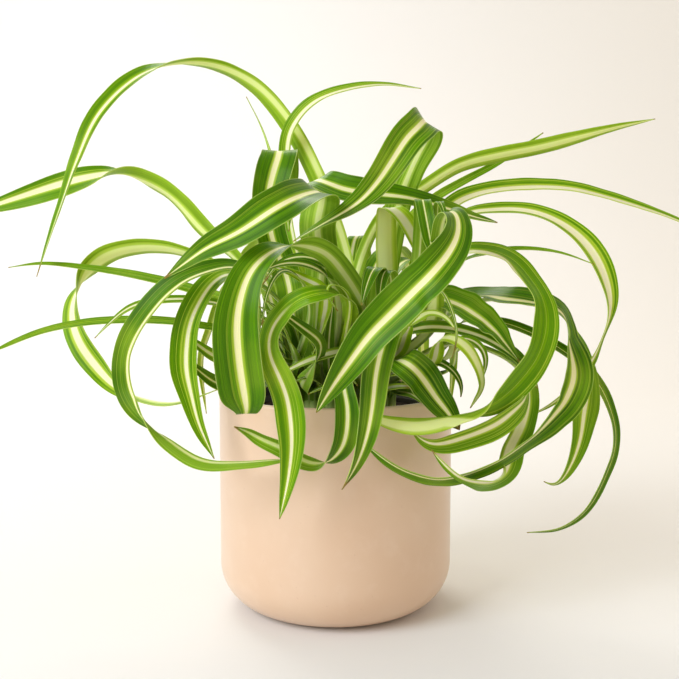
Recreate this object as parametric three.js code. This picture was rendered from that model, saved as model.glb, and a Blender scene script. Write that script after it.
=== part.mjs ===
// A potted spider plant: a straight cover pot with a rounded foot, a grow pot with soil standing in it,
// and a crown of long grooved leaves that rise, arch over and curl. Millimetres, +Z up, the front
// towards -Y, the origin in the middle of the pot's flat foot.
import * as THREE from "three";

// Cover pot
const POT_RADIUS = 69;
const POT_HEIGHT = 128;
const POT_WALL = 4;
const POT_FLOOR = 6;
const FOOT_RADIUS = 42;
const RIM_ROUND = 1.2;
const POT_SIDES = 56;
const FOOT_STEPS = 6;

// Grow pot, a thin tapered liner with a rolled lip, standing on the cover pot's floor
const SEAT_GAP = 0.3;
const LINER_TOP = 125;
const LINER_LIP_RADIUS = 63;
const LINER_RADIUS = 60.5;
const LINER_FOOT_RADIUS = 43;
const LINER_WALL = 1.2;
const LINER_LIP_DROP = 9;
const LINER_LIP_SLOPE = 1.5;
const LINER_FLARE = 18;
const LINER_FOOT_SLOPE = 2;
const LINER_SIDES = 40;

// Soil and crown
const SOIL_TOP = 115.1;
const SOIL_RINGS = [53, 48.5, 44];
const SOIL_SIDES = 36;
const SOIL_BUMP = 1.6;
const SOIL_WAVES = { across: 0.55, along: 0.6, start: 1 };
const SOIL_EDGE = 1;
const CROWN_RADIUS = 37;
const CROWN_TOP = 120.7;
const CROWN_EDGE = 2;

// Leaves. A leaf starts with a straight neck that leans outward from the nearest rosette. Its section is
// a V, GROOVE deep for each unit of half width. STEP and BEND are the most millimetres and radians
// between two sections, taken together.
const LEAF_FOOT = 121;
const LEAF_NECK = 13;
const LEAF_LEAN = 1.5;
const BLADE = 0.8;
const GROOVE = 0.32;
const BASE_SHARE = 0.5;
const WIDEST_AT = 0.3;
const TAPER_POWER = 0.9;
const TIP_WIDTH = 1.2;
const FEWEST_STATIONS = 4;
const STEP = 22;
const BEND = 0.6;
const FINE = 24;
const ROSETTES = [
  [-14, -8],
  [18, -8],
  [2, 15],
];

// The plant is laid out as it is seen from one eye point in front of it. A route point's first two
// numbers are read in the upright plane through the pot's axis, across and up. The third is how far
// behind that plane the point lies, and moving it there keeps it on the line of sight. The letters
// say which way the leaf's upper side looks: Front, Back, Left, Right, Up or Down, with a letter
// repeated where that direction counts for more.
const EYE = new THREE.Vector3(2.4, -608, 215);
const SIDES = {
  F: [0, -1, 0],
  B: [0, 1, 0],
  L: [-1, 0, 0],
  R: [1, 0, 0],
  U: [0, 0, 1],
  D: [0, 0, -1],
};

const finish = (color, roughness) => new THREE.MeshStandardMaterial({ color, roughness, metalness: 0 });
const POT_FINISH = finish(0xe3bf9c, 0.4);
const LINER_FINISH = finish(0x2b2426, 0.5);
const SOIL_FINISH = finish(0x2c1d14, 0.95);
const CROWN_FINISH = finish(0xb9c48a, 0.7);
const DEEP = finish(0x3a7212, 0.35);
const MIDDLE = finish(0x5a9220, 0.4);
const LIGHT = finish(0x86ad45, 0.45);

// One entry for each leaf: its green, its greatest width, how long it stays full before it tapers, where
// its foot stands on the crown, and its route from the crown to the tip. The base is the share of the
// width that the leaf has at its foot, where that isn't BASE_SHARE.
const LEAVES = [
  {
    name: "high_arch_left", tone: LIGHT, width: 12, fullness: 4, foot: [4.5, 15],
    route: [
      [9, 185, 23, "BR"], [4.5, 209, 34, "BBR"], [-3, 232, 48, "BBR"], [-12.5, 256.5, 56, "BBR"],
      [-25.5, 281, 60, "BBR"], [-46, 305.5, 60, "BRU"], [-69, 317.5, 56, "BUU"],
      [-90, 319.5, 49, "U"], [-113.5, 313.5, 38, "UF"], [-138.5, 291.5, 25, "FUL"],
      [-152, 264, 14, "FL"], [-160.5, 241, 6, "FL"], [-168.5, 219.5, 0, "FL"],
      [-177, 196, -6, "FL"],
    ],
  },
  {
    name: "arch_left", tone: MIDDLE, width: 16, fullness: 5, foot: [-25.5, 15],
    route: [
      [-35, 170, 15, "RU"], [-56.5, 204.5, 18, "BRU"], [-76.5, 222.5, 29, "BBU"],
      [-97, 244, 36, "BBU"], [-113.5, 253, 40, "BUU"], [-127.5, 256.5, 43, "U"],
      [-139.5, 254, 44, "UFF"], [-161.5, 248.5, 46, "FFU"], [-185.5, 241.5, 47, "FFU"],
      [-204.5, 235.5, 48, "FFU"], [-221, 228, 50, "F"],
    ],
  },
  {
    name: "curl_left", tone: LIGHT, width: 13, fullness: 3.5, foot: [-24.5, 5.5],
    route: [
      [-37.5, 158.5, 1, "RU"], [-56.5, 194, 4, "RU"], [-89, 210, 8, "BU"], [-109.5, 213, 12, "BU"],
      [-128.5, 210.5, 14, "BBU"], [-142, 203.5, 15, "BBU"], [-152, 189.5, 12, "L"],
      [-156, 175, 8, "LFF"], [-153, 159.5, 4, "FFL"], [-142.5, 143, -4, "FFL"],
      [-130, 130, -10, "FLD"], [-117, 123.5, -16, "D"], [-96, 120.5, -26, "D"],
      [-70, 128.5, -34, "D"],
    ],
  },
  {
    name: "thin_left_upper", tone: LIGHT, width: 4, fullness: 3, foot: [-18, 4.5],
    route: [
      [-30, 153.5, -6, "U"], [-56.5, 178.5, -12, "U"], [-89, 189.5, -4, "UF"],
      [-115.5, 196.5, 0, "UF"], [-151, 202, 3, "UF"], [-174.5, 204, 5, "UF"],
      [-193.5, 201.5, 6, "UF"],
    ],
  },
  {
    name: "front_blade_left", tone: DEEP, width: 20, fullness: 3, foot: [-12, -14.5],
    route: [
      [-10, 180, -36, "BU"], [-8, 203, -48, "BBU"], [-11, 226.5, -68, "BBU"], [-8, 241, -72, "RBU"],
      [-8, 245.5, -79, "RRU"], [-17.5, 244.5, -95, "FU"], [-32.5, 238, -108, "FFU"],
      [-56, 223, -106, "FFL"], [-77, 212.5, -99, "FFL"], [-89, 204, -96, "FL"],
      [-101.5, 195, -96, "FL"],
    ],
  },
  {
    name: "big_loop_left", tone: DEEP, width: 11, fullness: 3.5, foot: [-30, -6],
    route: [
      [-45.5, 160.5, -22, "RU"], [-49.5, 197, -56, "RU"], [-59.5, 203, -57, "UF"],
      [-77, 200.5, -60, "UF"], [-95, 193, -62, "FU"], [-113, 175, -62, "FFLU"],
      [-126, 152.5, -60, "FFL"], [-127, 129.5, -62, "FFL"], [-119.5, 115, -68, "FL"],
      [-109.5, 104.5, -72, "LD"], [-98.5, 94, -76, "DB"], [-81.5, 83.5, -79, "BBD"],
      [-57.5, 83, -80, "BBD"], [-39.5, 84.5, -81, "BD"], [-22.5, 86.5, -82, "BD"],
    ],
  },
  {
    name: "hanging_left", tone: DEEP, width: 15, fullness: 3, foot: [-16.5, -4.5],
    route: [
      [-27.5, 173.5, -21, "RU"], [-52, 195, -36, "RU"], [-65.5, 198, -46, "U"],
      [-73.5, 193, -50, "UF"], [-81.5, 182, -52, "FFL"], [-87.5, 169, -53, "FFL"],
      [-90, 155.5, -54, "F"], [-90.5, 140.5, -55, "F"], [-87, 124, -56, "F"],
      [-82.5, 107, -58, "F"], [-73, 86.5, -62, "F"],
    ],
  },
  {
    name: "thin_left_lower", tone: LIGHT, width: 4, fullness: 3, foot: [-23, 3],
    route: [
      [-33.5, 152.5, -8, "U"], [-51, 162.5, -12, "U"], [-73.5, 166, -29, "U"],
      [-95.5, 169.5, -32, "UF"], [-125, 170.5, -28, "UF"], [-152, 168.5, -24, "UF"],
      [-175.5, 163.5, -20, "UF"], [-200, 153.5, -16, "UF"], [-209, 149, -15, "UF"],
    ],
  },
  {
    name: "small_curl_left", tone: MIDDLE, width: 5, fullness: 3, foot: [-24, -4],
    route: [
      [-28.5, 159.5, -20, "U"], [-53.5, 175, -20, "U"], [-80.5, 182, -34, "U"],
      [-101, 182.5, -38, "UF"], [-122, 178, -36, "UF"], [-137, 166, -34, "FL"],
      [-143.5, 159.5, -33, "FL"],
    ],
  },
  {
    name: "inner_left_a", tone: LIGHT, width: 8, fullness: 3, foot: [-13.5, -10.5],
    route: [
      [-33, 146.5, -22, "U"], [-46, 144, -46, "UF"], [-71, 148, -45, "UFF"],
      [-82, 155.5, -43, "UFF"], [-95, 165.5, -42, "UFF"],
    ],
  },
  {
    name: "inner_left_b", tone: MIDDLE, width: 8, fullness: 3, foot: [-22, -11.5],
    route: [
      [-28, 139, -17, "U"], [-48, 131.5, -26, "UF"], [-70, 132, -43, "UFF"],
      [-82, 140.5, -47, "UFF"], [-91.5, 149, -46, "UFF"],
    ],
  },
  {
    name: "top_band_right", tone: DEEP, width: 15, fullness: 2.5, foot: [-9, -1.5],
    route: [
      [-2, 174, -19, "LBUU"], [-7, 204.5, -18, "BU"], [-10.5, 232, -26, "BBU"],
      [-13, 248.5, -36, "LBU"], [-13, 253, -43, "LUU"], [-6.5, 251.5, -49, "FU"],
      [5.5, 247, -52, "FFU"], [23.5, 244.5, -53, "FFU"], [44, 242, -52, "FFU"],
      [67.5, 235.5, -51, "FFU"], [84, 230.5, -50, "FU"], [95.5, 228, -48, "FU"],
    ],
  },
  {
    name: "big_front_left", tone: DEEP, width: 23, fullness: 5, foot: [0, -3],
    route: [
      [17.5, 168.5, -35, "BU"], [15.5, 180.5, -59, "BU"], [5.5, 197, -70, "BBU"],
      [-6, 210, -80, "BBU"], [-18, 214, -87, "BU"], [-28, 214.5, -94, "U"],
      [-40, 209.5, -100, "UF"], [-50.5, 199, -104, "FFU"], [-56.5, 184, -107, "F"],
      [-59, 167.5, -108, "F"], [-58, 146.5, -106, "F"], [-55.5, 128.5, -104, "F"],
      [-53.5, 119.5, -101, "FD"], [-54, 115.5, -95, "D"], [-56.5, 121, -90, "B"],
      [-57, 131.5, -88, "B"], [-56.5, 143.5, -87, "B"], [-55, 153.5, -86, "B"],
    ],
  },
  {
    name: "crossing_blade", tone: DEEP, width: 18, fullness: 4.5, foot: [20.5, 19],
    route: [
      [25.5, 168, 16, "BU"], [29, 188, 11, "BBU"], [33.5, 217.5, 7, "BBU"], [38, 241, 0, "BBU"],
      [43.5, 256, -12, "BBU"], [49.5, 269, -24, "BBU"], [55.5, 281.5, -38, "BU"],
      [55, 289.5, -48, "BUU"], [53.5, 292, -56, "U"], [49.5, 286.5, -63, "FU"],
      [42.5, 277.5, -67, "FFU"], [33.5, 264, -70, "F"], [25, 251.5, -73, "F"],
      [15.5, 241, -76, "F"], [5.5, 234, -79, "FFU"], [-9, 226, -78, "FU"], [-25, 217, -74, "FU"],
    ],
  },
  {
    name: "upright_fold", tone: DEEP, width: 21, fullness: 4, foot: [-13.5, 13],
    route: [
      [-25, 171.5, -7, "F"], [-28, 194, 11, "F"], [-37.5, 220.5, 7, "F"], [-39.5, 241, 5, "F"],
      [-36, 257.5, 8, "F"], [-33, 266.5, 12, "FU"], [-32.5, 270, 18, "U"], [-32, 268.5, 25, "BU"],
      [-30.5, 259.5, 30, "B"], [-29.5, 247, 34, "B"], [-28.5, 235, 36, "B"],
      [-27.5, 222.5, 37, "B"],
    ],
  },
  {
    name: "thin_spike", tone: LIGHT, width: 3, fullness: 3, foot: [-8, 15],
    route: [
      [-18, 181, 28, "F"], [-31.5, 194.5, 44, "F"], [-32, 228, 58, "F"], [-36.5, 261.5, 57, "F"],
      [-43, 282.5, 70, "FL"], [-52, 300.5, 61, "FL"],
    ],
  },
  {
    name: "top_thin_right", tone: LIGHT, width: 7.5, fullness: 2, foot: [-18.5, 22.5],
    route: [
      [-18, 158.5, 50, "F"], [-20, 194, 38, "FL"], [-27, 226.5, 58, "FL"], [-29, 252.5, 56, "FL"],
      [-28.5, 277.5, 51, "FL"], [-23.5, 288, 48, "FL"], [-13.5, 298, 46, "UFL"],
      [2.5, 304.5, 44, "UF"], [26, 308, 43, "UF"], [50, 305.5, 42, "UF"],
    ],
  },
  {
    name: "pale_riser", tone: LIGHT, width: 12.5, fullness: 3, foot: [4, 4],
    route: [
      [15, 169, 8, "B"], [29, 188, 2, "B"], [30, 217.5, -11, "B"], [30, 231.5, -20, "BU"],
      [30.5, 237, -27, "U"], [35.5, 235.5, -33, "FU"], [42, 228.5, -36, "FU"],
      [48.5, 216.5, -35, "F"], [54.5, 203.5, -28, "F"], [59.5, 189.5, -30, "F"],
    ],
  },
  {
    name: "centre_right_hang", tone: LIGHT, width: 9, fullness: 3, foot: [9.5, -3],
    route: [
      [34.5, 166, -30, "B"], [47, 188, -56, "B"], [50, 214.5, -52, "B"], [51, 236.5, -59, "BU"],
      [51, 242.5, -66, "U"], [52, 238, -72, "FU"], [54, 228, -76, "F"], [56.5, 217.5, -78, "F"],
    ],
  },
  {
    name: "big_front_right", tone: DEEP, width: 22, fullness: 4, foot: [25, -6],
    route: [
      [66, 174.5, -29, "BU"], [65.5, 194, -42, "BU"], [70.5, 217.5, -73, "BU"],
      [71, 230.5, -85, "BU"], [69.5, 237.5, -92, "LUU"], [71, 231, -100, "FU"],
      [71.5, 220.5, -108, "FFU"], [66, 209, -116, "FFU"], [56, 197, -122, "FFU"],
      [44, 185, -118, "FFU"], [32.5, 173.5, -118, "FFU"], [20.5, 161.5, -119, "FFU"],
      [10, 147.5, -119, "F"], [1.5, 135.5, -118, "F"], [-5, 125.5, -116, "F"],
      [-11.5, 114.5, -113, "F"],
    ],
  },
  {
    name: "long_upper_right", tone: MIDDLE, width: 10.5, fullness: 2.5, foot: [10, 13],
    route: [
      [10, 182, 15, "BR"], [17, 211.5, 23, "BU"], [29, 233, 29, "BBU"], [51, 247.5, 34, "BBU"],
      [73, 261, 38, "BBU"], [96.5, 267, 42, "BBU"], [119.5, 271.5, 46, "BBU"],
      [143, 277.5, 50, "BBU"], [166, 283.5, 53, "BBU"], [186.5, 288, 56, "BBU"],
    ],
  },
  {
    name: "thin_upper_right", tone: LIGHT, width: 4, fullness: 3, foot: [22, 24.5],
    route: [
      [14, 180.5, 55, "B"], [35, 220.5, 76, "B"], [57, 241.5, 60, "BU"], [73, 251, 56, "BU"],
      [96.5, 263.5, 60, "BU"], [121.5, 280, 64, "BU"],
    ],
  },
  {
    name: "arch_right", tone: MIDDLE, width: 9, fullness: 2.5, foot: [25.5, 18],
    route: [
      [40, 177, 20, "U"], [50, 209, 8, "UF"], [67.5, 238.5, 10, "UF"], [79, 244.5, 12, "UF"],
      [91, 247.5, 14, "FU"], [114, 249.5, 16, "FU"], [137.5, 248.5, 17, "FU"],
      [155.5, 244.5, 18, "UF"], [191, 233.5, 20, "UF"], [215, 224, 22, "UF"],
    ],
  },
  {
    name: "big_arch_right", tone: MIDDLE, width: 12.5, fullness: 4, foot: [12.5, 6],
    route: [
      [34.5, 180.5, 4, "U"], [59, 211.5, -10, "U"], [76.5, 233, -12, "UF"], [91, 235.5, -14, "UF"],
      [105.5, 236, -17, "UF"], [120.5, 233.5, -20, "UF"], [138, 225, -24, "FU"],
      [151.5, 212.5, -27, "FFU"], [159.5, 198, -29, "FFR"], [163.5, 182, -31, "FR"],
      [162.5, 170.5, -33, "RF"], [159, 160, -36, "R"], [154, 147.5, -41, "RB"],
      [145, 134.5, -46, "BD"], [131.5, 121, -47, "BD"], [116.5, 112.5, -49, "BD"],
    ],
  },
  {
    name: "small_thin_right", tone: LIGHT, width: 4, fullness: 2, foot: [20.5, 7.5],
    route: [
      [34.5, 171, 13, "U"], [70.5, 203, -12, "U"], [91.5, 210.5, -32, "U"], [109, 213, -37, "UF"],
      [132.5, 210.5, -37, "UF"], [153, 203.5, -36, "UF"],
    ],
  },
  {
    name: "big_curl_right", tone: DEEP, width: 15, fullness: 4, foot: [19, -15],
    route: [
      [57, 164.5, -50, "U"], [62, 204.5, -75, "U"], [72.5, 211.5, -85, "UF"],
      [91, 211.5, -82, "FU"], [106, 205, -73, "FU"], [116, 193.5, -71, "FR"],
      [122, 184.5, -72, "FFR"], [125, 170.5, -72, "F"], [123.5, 158.5, -73, "F"],
      [119.5, 147.5, -74, "F"], [112.5, 137.5, -75, "FD"], [104.5, 128.5, -77, "FD"],
      [94.5, 120.5, -80, "FD"], [83.5, 115, -84, "D"], [71.5, 112.5, -88, "D"],
      [62.5, 109.5, -91, "DB"], [50.5, 107, -94, "BD"], [38.5, 108, -96, "BD"],
      [29.5, 109.5, -97, "BD"], [16, 115.5, -98, "BD"],
    ],
  },
  {
    name: "far_curl_right", tone: DEEP, width: 17, fullness: 5, foot: [21.5, 3],
    route: [
      [42.5, 160, 5, "LUU"], [62, 182, -10, "U"], [85.5, 185, -22, "UF"], [100.5, 184.5, -43, "UF"],
      [118.5, 181.5, -50, "FUU"], [133.5, 177.5, -53, "U"], [138, 169, -53, "R"],
      [139, 158.5, -52, "RRF"], [142, 150.5, -52, "RRF"], [145.5, 137.5, -53, "RF"],
      [141, 122.5, -56, "F"], [133.5, 111.5, -58, "FFD"], [123, 101, -58, "FD"],
      [112, 92.5, -62, "FD"], [102, 86, -66, "FD"], [88, 79.5, -72, "DF"], [75, 75, -77, "DF"],
      [63, 73, -80, "DF"], [51, 75, -83, "DF"], [39, 79.5, -84, "DF"], [28, 86.5, -85, "DF"],
      [16, 97, -87, "DF"],
    ],
  },
  {
    name: "short_hang_right", tone: MIDDLE, width: 16, fullness: 5, foot: [31.5, 10],
    route: [
      [56.5, 164, 3, "U"], [85.5, 181, -10, "U"], [115.5, 179, -30, "U"], [133.5, 174.5, -34, "U"],
      [142, 161.5, -34, "R"], [147.5, 146.5, -33, "RF"], [151, 131.5, -34, "F"],
      [149, 115, -36, "F"], [147, 98, -38, "F"], [141, 81, -40, "F"], [133, 70, -42, "FD"],
      [125.5, 72.5, -44, "D"],
    ],
  },
  {
    name: "long_thin_right", tone: MIDDLE, width: 6, fullness: 5, foot: [28.5, 3],
    route: [
      [61.5, 150, -20, "U"], [74, 169, -39, "U"], [98, 169, -39, "UF"], [115.5, 163, -36, "UF"],
      [135.5, 152, -32, "UF"], [153, 137.5, -26, "FU"], [163, 121, -24, "FR"],
      [168.5, 98, -25, "FR"], [160.5, 70.5, -28, "FR"], [151, 54, -31, "FD"],
      [136, 43.5, -34, "FD"], [116, 41, -38, "FD"],
    ],
  },
  {
    name: "lower_right_hang", tone: MIDDLE, width: 14, fullness: 5, foot: [33, 3.5],
    route: [
      [67, 147, -21, "U"], [80, 161.5, -38, "U"], [104, 153.5, -46, "U"], [113.5, 137.5, -50, "FR"],
      [116, 123.5, -56, "F"], [115, 113, -62, "F"], [111.5, 102.5, -71, "F"],
      [106, 92, -74, "RFFD"], [102, 79.5, -77, "FD"], [93, 73.5, -79, "FD"], [84, 72, -84, "D"],
      [75, 73.5, -89, "D"], [66, 82, -92, "DL"], [57.5, 92, -94, "DL"],
    ],
  },
  {
    name: "lower_right_band", tone: MIDDLE, width: 10, fullness: 4, foot: [32, -7.5],
    route: [
      [60, 153, -40, "U"], [77, 155.5, -52, "U"], [104, 145, -61, "U"], [114.5, 131.5, -66, "R"],
      [114, 122.5, -70, "R"], [107.5, 115, -74, "FD"], [98.5, 107, -77, "FD"],
      [86.5, 101.5, -79, "FD"], [75, 97.5, -82, "FD"], [63, 94.5, -85, "FD"], [54, 96, -88, "FD"],
      [43.5, 106, -90, "DL"],
    ],
  },
  {
    name: "short_broad_right", tone: MIDDLE, width: 15, base: 0.25, fullness: 3, foot: [12, -24.5],
    route: [
      [35, 144, -52, "LUU"], [38, 146.5, -74, "FUU"], [45, 143.5, -84, "FFU"],
      [53.5, 134, -77, "FFU"], [60.5, 123.5, -75, "F"], [67.5, 115, -76, "F"],
      [74.5, 104, -71, "F"],
    ],
  },
  {
    name: "dark_arch_right", tone: DEEP, width: 7, fullness: 3, foot: [5.5, -3.5],
    route: [
      [32, 157, -42, "U"], [47.5, 165, -57, "UF"], [62, 166, -58, "UF"], [77, 163.5, -56, "UF"],
      [89, 159.5, -57, "UF"], [101, 152.5, -60, "FU"], [110, 145, -62, "FU"],
      [121, 129.5, -65, "FR"],
    ],
  },
  {
    name: "wide_dark_right", tone: DEEP, width: 13, fullness: 3, foot: [20, -6.5],
    route: [
      [39.5, 176, -14, "U"], [47, 182.5, -40, "U"], [62, 183.5, -49, "UF"], [71.5, 181, -50, "UF"],
      [83, 174.5, -57, "FU"], [93, 166.5, -58, "FU"], [101, 157, -65, "FR"], [110, 145, -67, "FR"],
    ],
  },
  {
    name: "thin_front_hang", tone: MIDDLE, width: 3.5, fullness: 3, foot: [0.5, -22.5],
    route: [
      [40.5, 165.5, -75, "B"], [56, 182, -77, "BU"], [61.5, 190, -82, "U"],
      [65.5, 184.5, -83, "FU"], [70, 173.5, -83, "F"], [72.5, 161.5, -84, "F"],
      [69.5, 147.5, -86, "F"],
    ],
  },
  {
    name: "pale_arch_right", tone: LIGHT, width: 6, fullness: 3, foot: [25, -23],
    route: [
      [58, 144, -62, "U"], [62, 159.5, -69, "U"], [71, 159.5, -72, "UF"], [80, 152.5, -75, "FU"],
      [86, 140.5, -77, "FR"], [87.5, 129.5, -71, "FR"], [80.5, 117.5, -72, "FD"],
    ],
  },
  {
    name: "lime_small_right", tone: LIGHT, width: 8, fullness: 3, foot: [28, -17],
    route: [
      [69, 140.5, -56, "LUU"], [73, 159.5, -66, "LFUU"], [81.5, 158.5, -64, "UF"],
      [88.5, 152.5, -65, "FU"], [90, 143.5, -65, "F"], [86.5, 133, -65, "F"],
    ],
  },
  {
    name: "pale_short_right", tone: LIGHT, width: 7, fullness: 3, foot: [11, -14.5],
    route: [
      [36, 149.5, -42, "U"], [44.5, 167.5, -71, "U"], [56, 175, -64, "UF"],
      [66.5, 171.5, -69, "FU"], [71, 164.5, -72, "FU"],
    ],
  },
  {
    name: "lime_front_hang", tone: LIGHT, width: 15.5, fullness: 4, foot: [-5, -23],
    route: [
      [7, 164.5, -39, "BBU"], [8.5, 169, -63, "BU"], [8, 180, -75, "RBU"], [1.5, 185.5, -83, "U"],
      [-9, 186.5, -99, "RFU"], [-21, 183, -101, "UF"], [-31.5, 174, -98, "FU"],
      [-39, 161.5, -99, "LFF"], [-39, 149.5, -101, "F"], [-33, 135.5, -102, "F"],
      [-28.5, 122.5, -100, "F"], [-26, 98, -101, "F"], [-28, 76.5, -98, "F"], [-31, 61.5, -95, "F"],
      [-34, 49.5, -91, "F"],
    ],
  },
  {
    name: "front_centre_hang", tone: DEEP, width: 15, fullness: 4, foot: [0, -30.5],
    route: [
      [23.5, 155, -69, "B"], [36, 166.5, -92, "BU"], [35, 175, -96, "U"], [32, 169, -103, "FU"],
      [29, 159.5, -107, "F"], [25.5, 146.5, -106, "F"], [23.5, 134.5, -107, "F"],
      [22, 119.5, -106, "F"], [19.5, 104, -105, "F"], [14, 86, -104, "F"], [4, 67.5, -100, "F"],
    ],
  },
  {
    name: "front_short_tail", tone: DEEP, width: 14, fullness: 6, foot: [16.5, -30],
    route: [
      [16, 131.5, -42, "BBU"], [10, 147.5, -68, "BU"], [6.5, 150, -74, "U"], [4, 143, -79, "FU"],
      [4.5, 131.5, -85, "F"], [7, 119.5, -89, "F"], [7, 107, -91, "F"], [5, 96, -90, "RFF"],
      [0.5, 88.5, -89, "RRF"], [-6.5, 83.5, -89, "D"], [-15.5, 83.5, -89, "DB"],
      [-24.5, 88.5, -92, "DB"], [-34.5, 94, -93, "DB"], [-44, 98, -92, "DB"],
      [-52.5, 102.5, -91, "DB"], [-61, 106, -96, "DB"],
    ],
  },
  {
    name: "dark_inner_left", tone: DEEP, width: 10, fullness: 3, foot: [-15, -22],
    route: [
      [-20, 131.5, -58, "RRBU"], [-8, 155.5, -69, "RFU"], [-18, 164.5, -73, "FU"],
      [-30, 173.5, -78, "FU"], [-41, 182, -82, "FU"],
    ],
  },
  {
    name: "pale_band_left", tone: LIGHT, width: 6, fullness: 3, foot: [-6.5, -28.5],
    route: [
      [-10, 155, -59, "LFUU"], [-6, 187, -68, "UF"], [-18, 194.5, -63, "UF"], [-30, 200, -73, "UF"],
      [-43.5, 203.5, -76, "UF"],
    ],
  },
  {
    name: "dark_arch_inner", tone: DEEP, width: 8, fullness: 3, foot: [-3, -7],
    route: [
      [4, 180.5, -36, "U"], [2.5, 193, -48, "UF"], [-6, 203.5, -66, "FU"], [-18, 208, -69, "FU"],
      [-33, 204.5, -68, "FL"], [-43.5, 191, -68, "FL"],
    ],
  },
  {
    name: "inner_hang_left", tone: DEEP, width: 8, fullness: 3, foot: [-25, -20.5],
    route: [
      [-15, 176, -71, "RU"], [-21, 195, -83, "U"], [-31, 201, -86, "UF"], [-37.5, 193, -88, "FL"],
      [-42, 180.5, -89, "FL"], [-43.5, 165.5, -89, "F"],
    ],
  },
  {
    name: "back_right_low", tone: DEEP, width: 14, fullness: 3.5, foot: [15.5, 20],
    route: [
      [21, 170, 26, "FL"], [29, 190.5, 23, "FLUU"], [42.5, 206, 42, "U"], [56.5, 195, 72, "BRUU"],
      [67, 169.5, 90, "BR"], [70, 150.5, 96, "BR"], [68.5, 115, 93, "BRD"],
    ],
  },
  {
    name: "back_right_wide", tone: MIDDLE, width: 15, fullness: 3.5, foot: [14, 29.5],
    route: [
      [20, 175.5, 33, "FFL"], [22, 197.5, 42, "FFLUUU"], [32, 212.5, 54, "U"],
      [42.5, 202.5, 83, "BBRUUU"], [49.5, 177, 111, "BBR"], [52, 150.5, 121, "BBR"],
      [50.5, 108.5, 118, "BBRD"],
    ],
  },
  {
    name: "back_right_short", tone: MIDDLE, width: 12, fullness: 3.5, foot: [6.5, 25.5],
    route: [
      [3.5, 165.5, 42, "F"], [9, 206.5, 63, "FU"], [12.5, 221, 68, "U"], [16.5, 210.5, 84, "BU"],
      [18.5, 185, 100, "B"], [20, 174, 106, "B"], [19.5, 146.5, 103, "BD"],
    ],
  },
  {
    name: "back_long", tone: DEEP, width: 17, fullness: 3.5, foot: [2.5, 30],
    route: [
      [-0.5, 170.5, 52, "F"], [0.5, 194, 70, "FU"], [-0.5, 209, 90, "U"], [-1.5, 199.5, 119, "BU"],
      [-1.5, 175, 141, "B"], [-2, 143, 150, "B"], [-1.5, 95, 146, "BD"],
    ],
  },
  {
    name: "back_centre", tone: MIDDLE, width: 13, fullness: 3.5, foot: [3.5, 22.5],
    route: [
      [5.5, 172, 32, "F"], [-8, 201, 39, "FU"], [-13, 216, 64, "U"], [-18, 205, 89, "BU"],
      [-21.5, 180, 106, "B"], [-23, 164.5, 112, "B"], [-22.5, 132.5, 109, "BD"],
    ],
  },
  {
    name: "back_left_wide", tone: DEEP, width: 16, fullness: 3.5, foot: [-13, 25.5],
    route: [
      [-4.5, 170.5, 35, "FFR"], [-20.5, 196, 62, "FFRUUU"], [-32, 210.5, 70, "U"],
      [-43.5, 200.5, 98, "BBLUUU"], [-51.5, 175.5, 119, "BBL"], [-54.5, 149, 126, "BBL"],
      [-53, 106, 122, "BBLD"],
    ],
  },
  {
    name: "back_left_short", tone: LIGHT, width: 12, fullness: 3.5, foot: [-5.5, 12.5],
    route: [
      [-12.5, 167.5, 17, "FR"], [-24.5, 203, 25, "FRUU"], [-38, 217.5, 38, "U"],
      [-53, 207, 64, "BLUU"], [-62.5, 180.5, 79, "BL"], [-66.5, 163.5, 83, "BL"],
      [-64, 131.5, 81, "BLD"],
    ],
  },
  {
    name: "back_left_low", tone: MIDDLE, width: 13, fullness: 3.5, foot: [-18, 13],
    route: [
      [-25, 167.5, 18, "FRR"], [-29.5, 185, 16, "FRRUUU"], [-46, 201, 33, "U"],
      [-63, 190, 48, "BLLUUU"], [-75, 163, 57, "BLL"], [-80, 147, 60, "BLL"],
      [-77.5, 114, 58, "BLLD"],
    ],
  },
  {
    name: "back_inner_right", tone: LIGHT, width: 12, fullness: 3.5, foot: [-3.5, 32.5],
    route: [
      [-3, 147, 45, "F"], [-0.5, 180, 66, "FU"], [3, 193, 87, "U"], [6.5, 183, 110, "BU"],
      [10.5, 159.5, 125, "B"], [13, 156.5, 132, "B"], [15, 152, 123, "BD"],
    ],
  },
  {
    name: "back_inner_left", tone: MIDDLE, width: 12, fullness: 3.5, foot: [-26.5, 17.5],
    route: [
      [-31, 147, 29, "RFF"], [-38, 181, 53, "RFFUU"], [-43, 194.5, 75, "U"],
      [-48, 184, 100, "BBLUU"], [-49.5, 160.5, 117, "BBL"], [-49.5, 157, 125, "BBL"],
      [-45, 152, 118, "BBLD"],
    ],
  },
];

// A closed turned solid. The outline runs from the axis at the bottom, up the outside, and back.
function turned(outline, sides) {
  const points = outline.map(([radius, height]) => new THREE.Vector2(radius, height));
  return new THREE.LatheGeometry(points, sides).rotateX(Math.PI / 2);
}

// Points of a quarter arc from angle 'from' to angle 'to', in degrees, round a centre.
function arc(centreRadius, centreHeight, across, up, from, to, steps) {
  const points = [];
  for (let k = 0; k <= steps; k++) {
    const turn = THREE.MathUtils.degToRad(from + ((to - from) * k) / steps);
    points.push([centreRadius + across * Math.cos(turn), centreHeight + up * Math.sin(turn)]);
  }
  return points;
}

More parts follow.
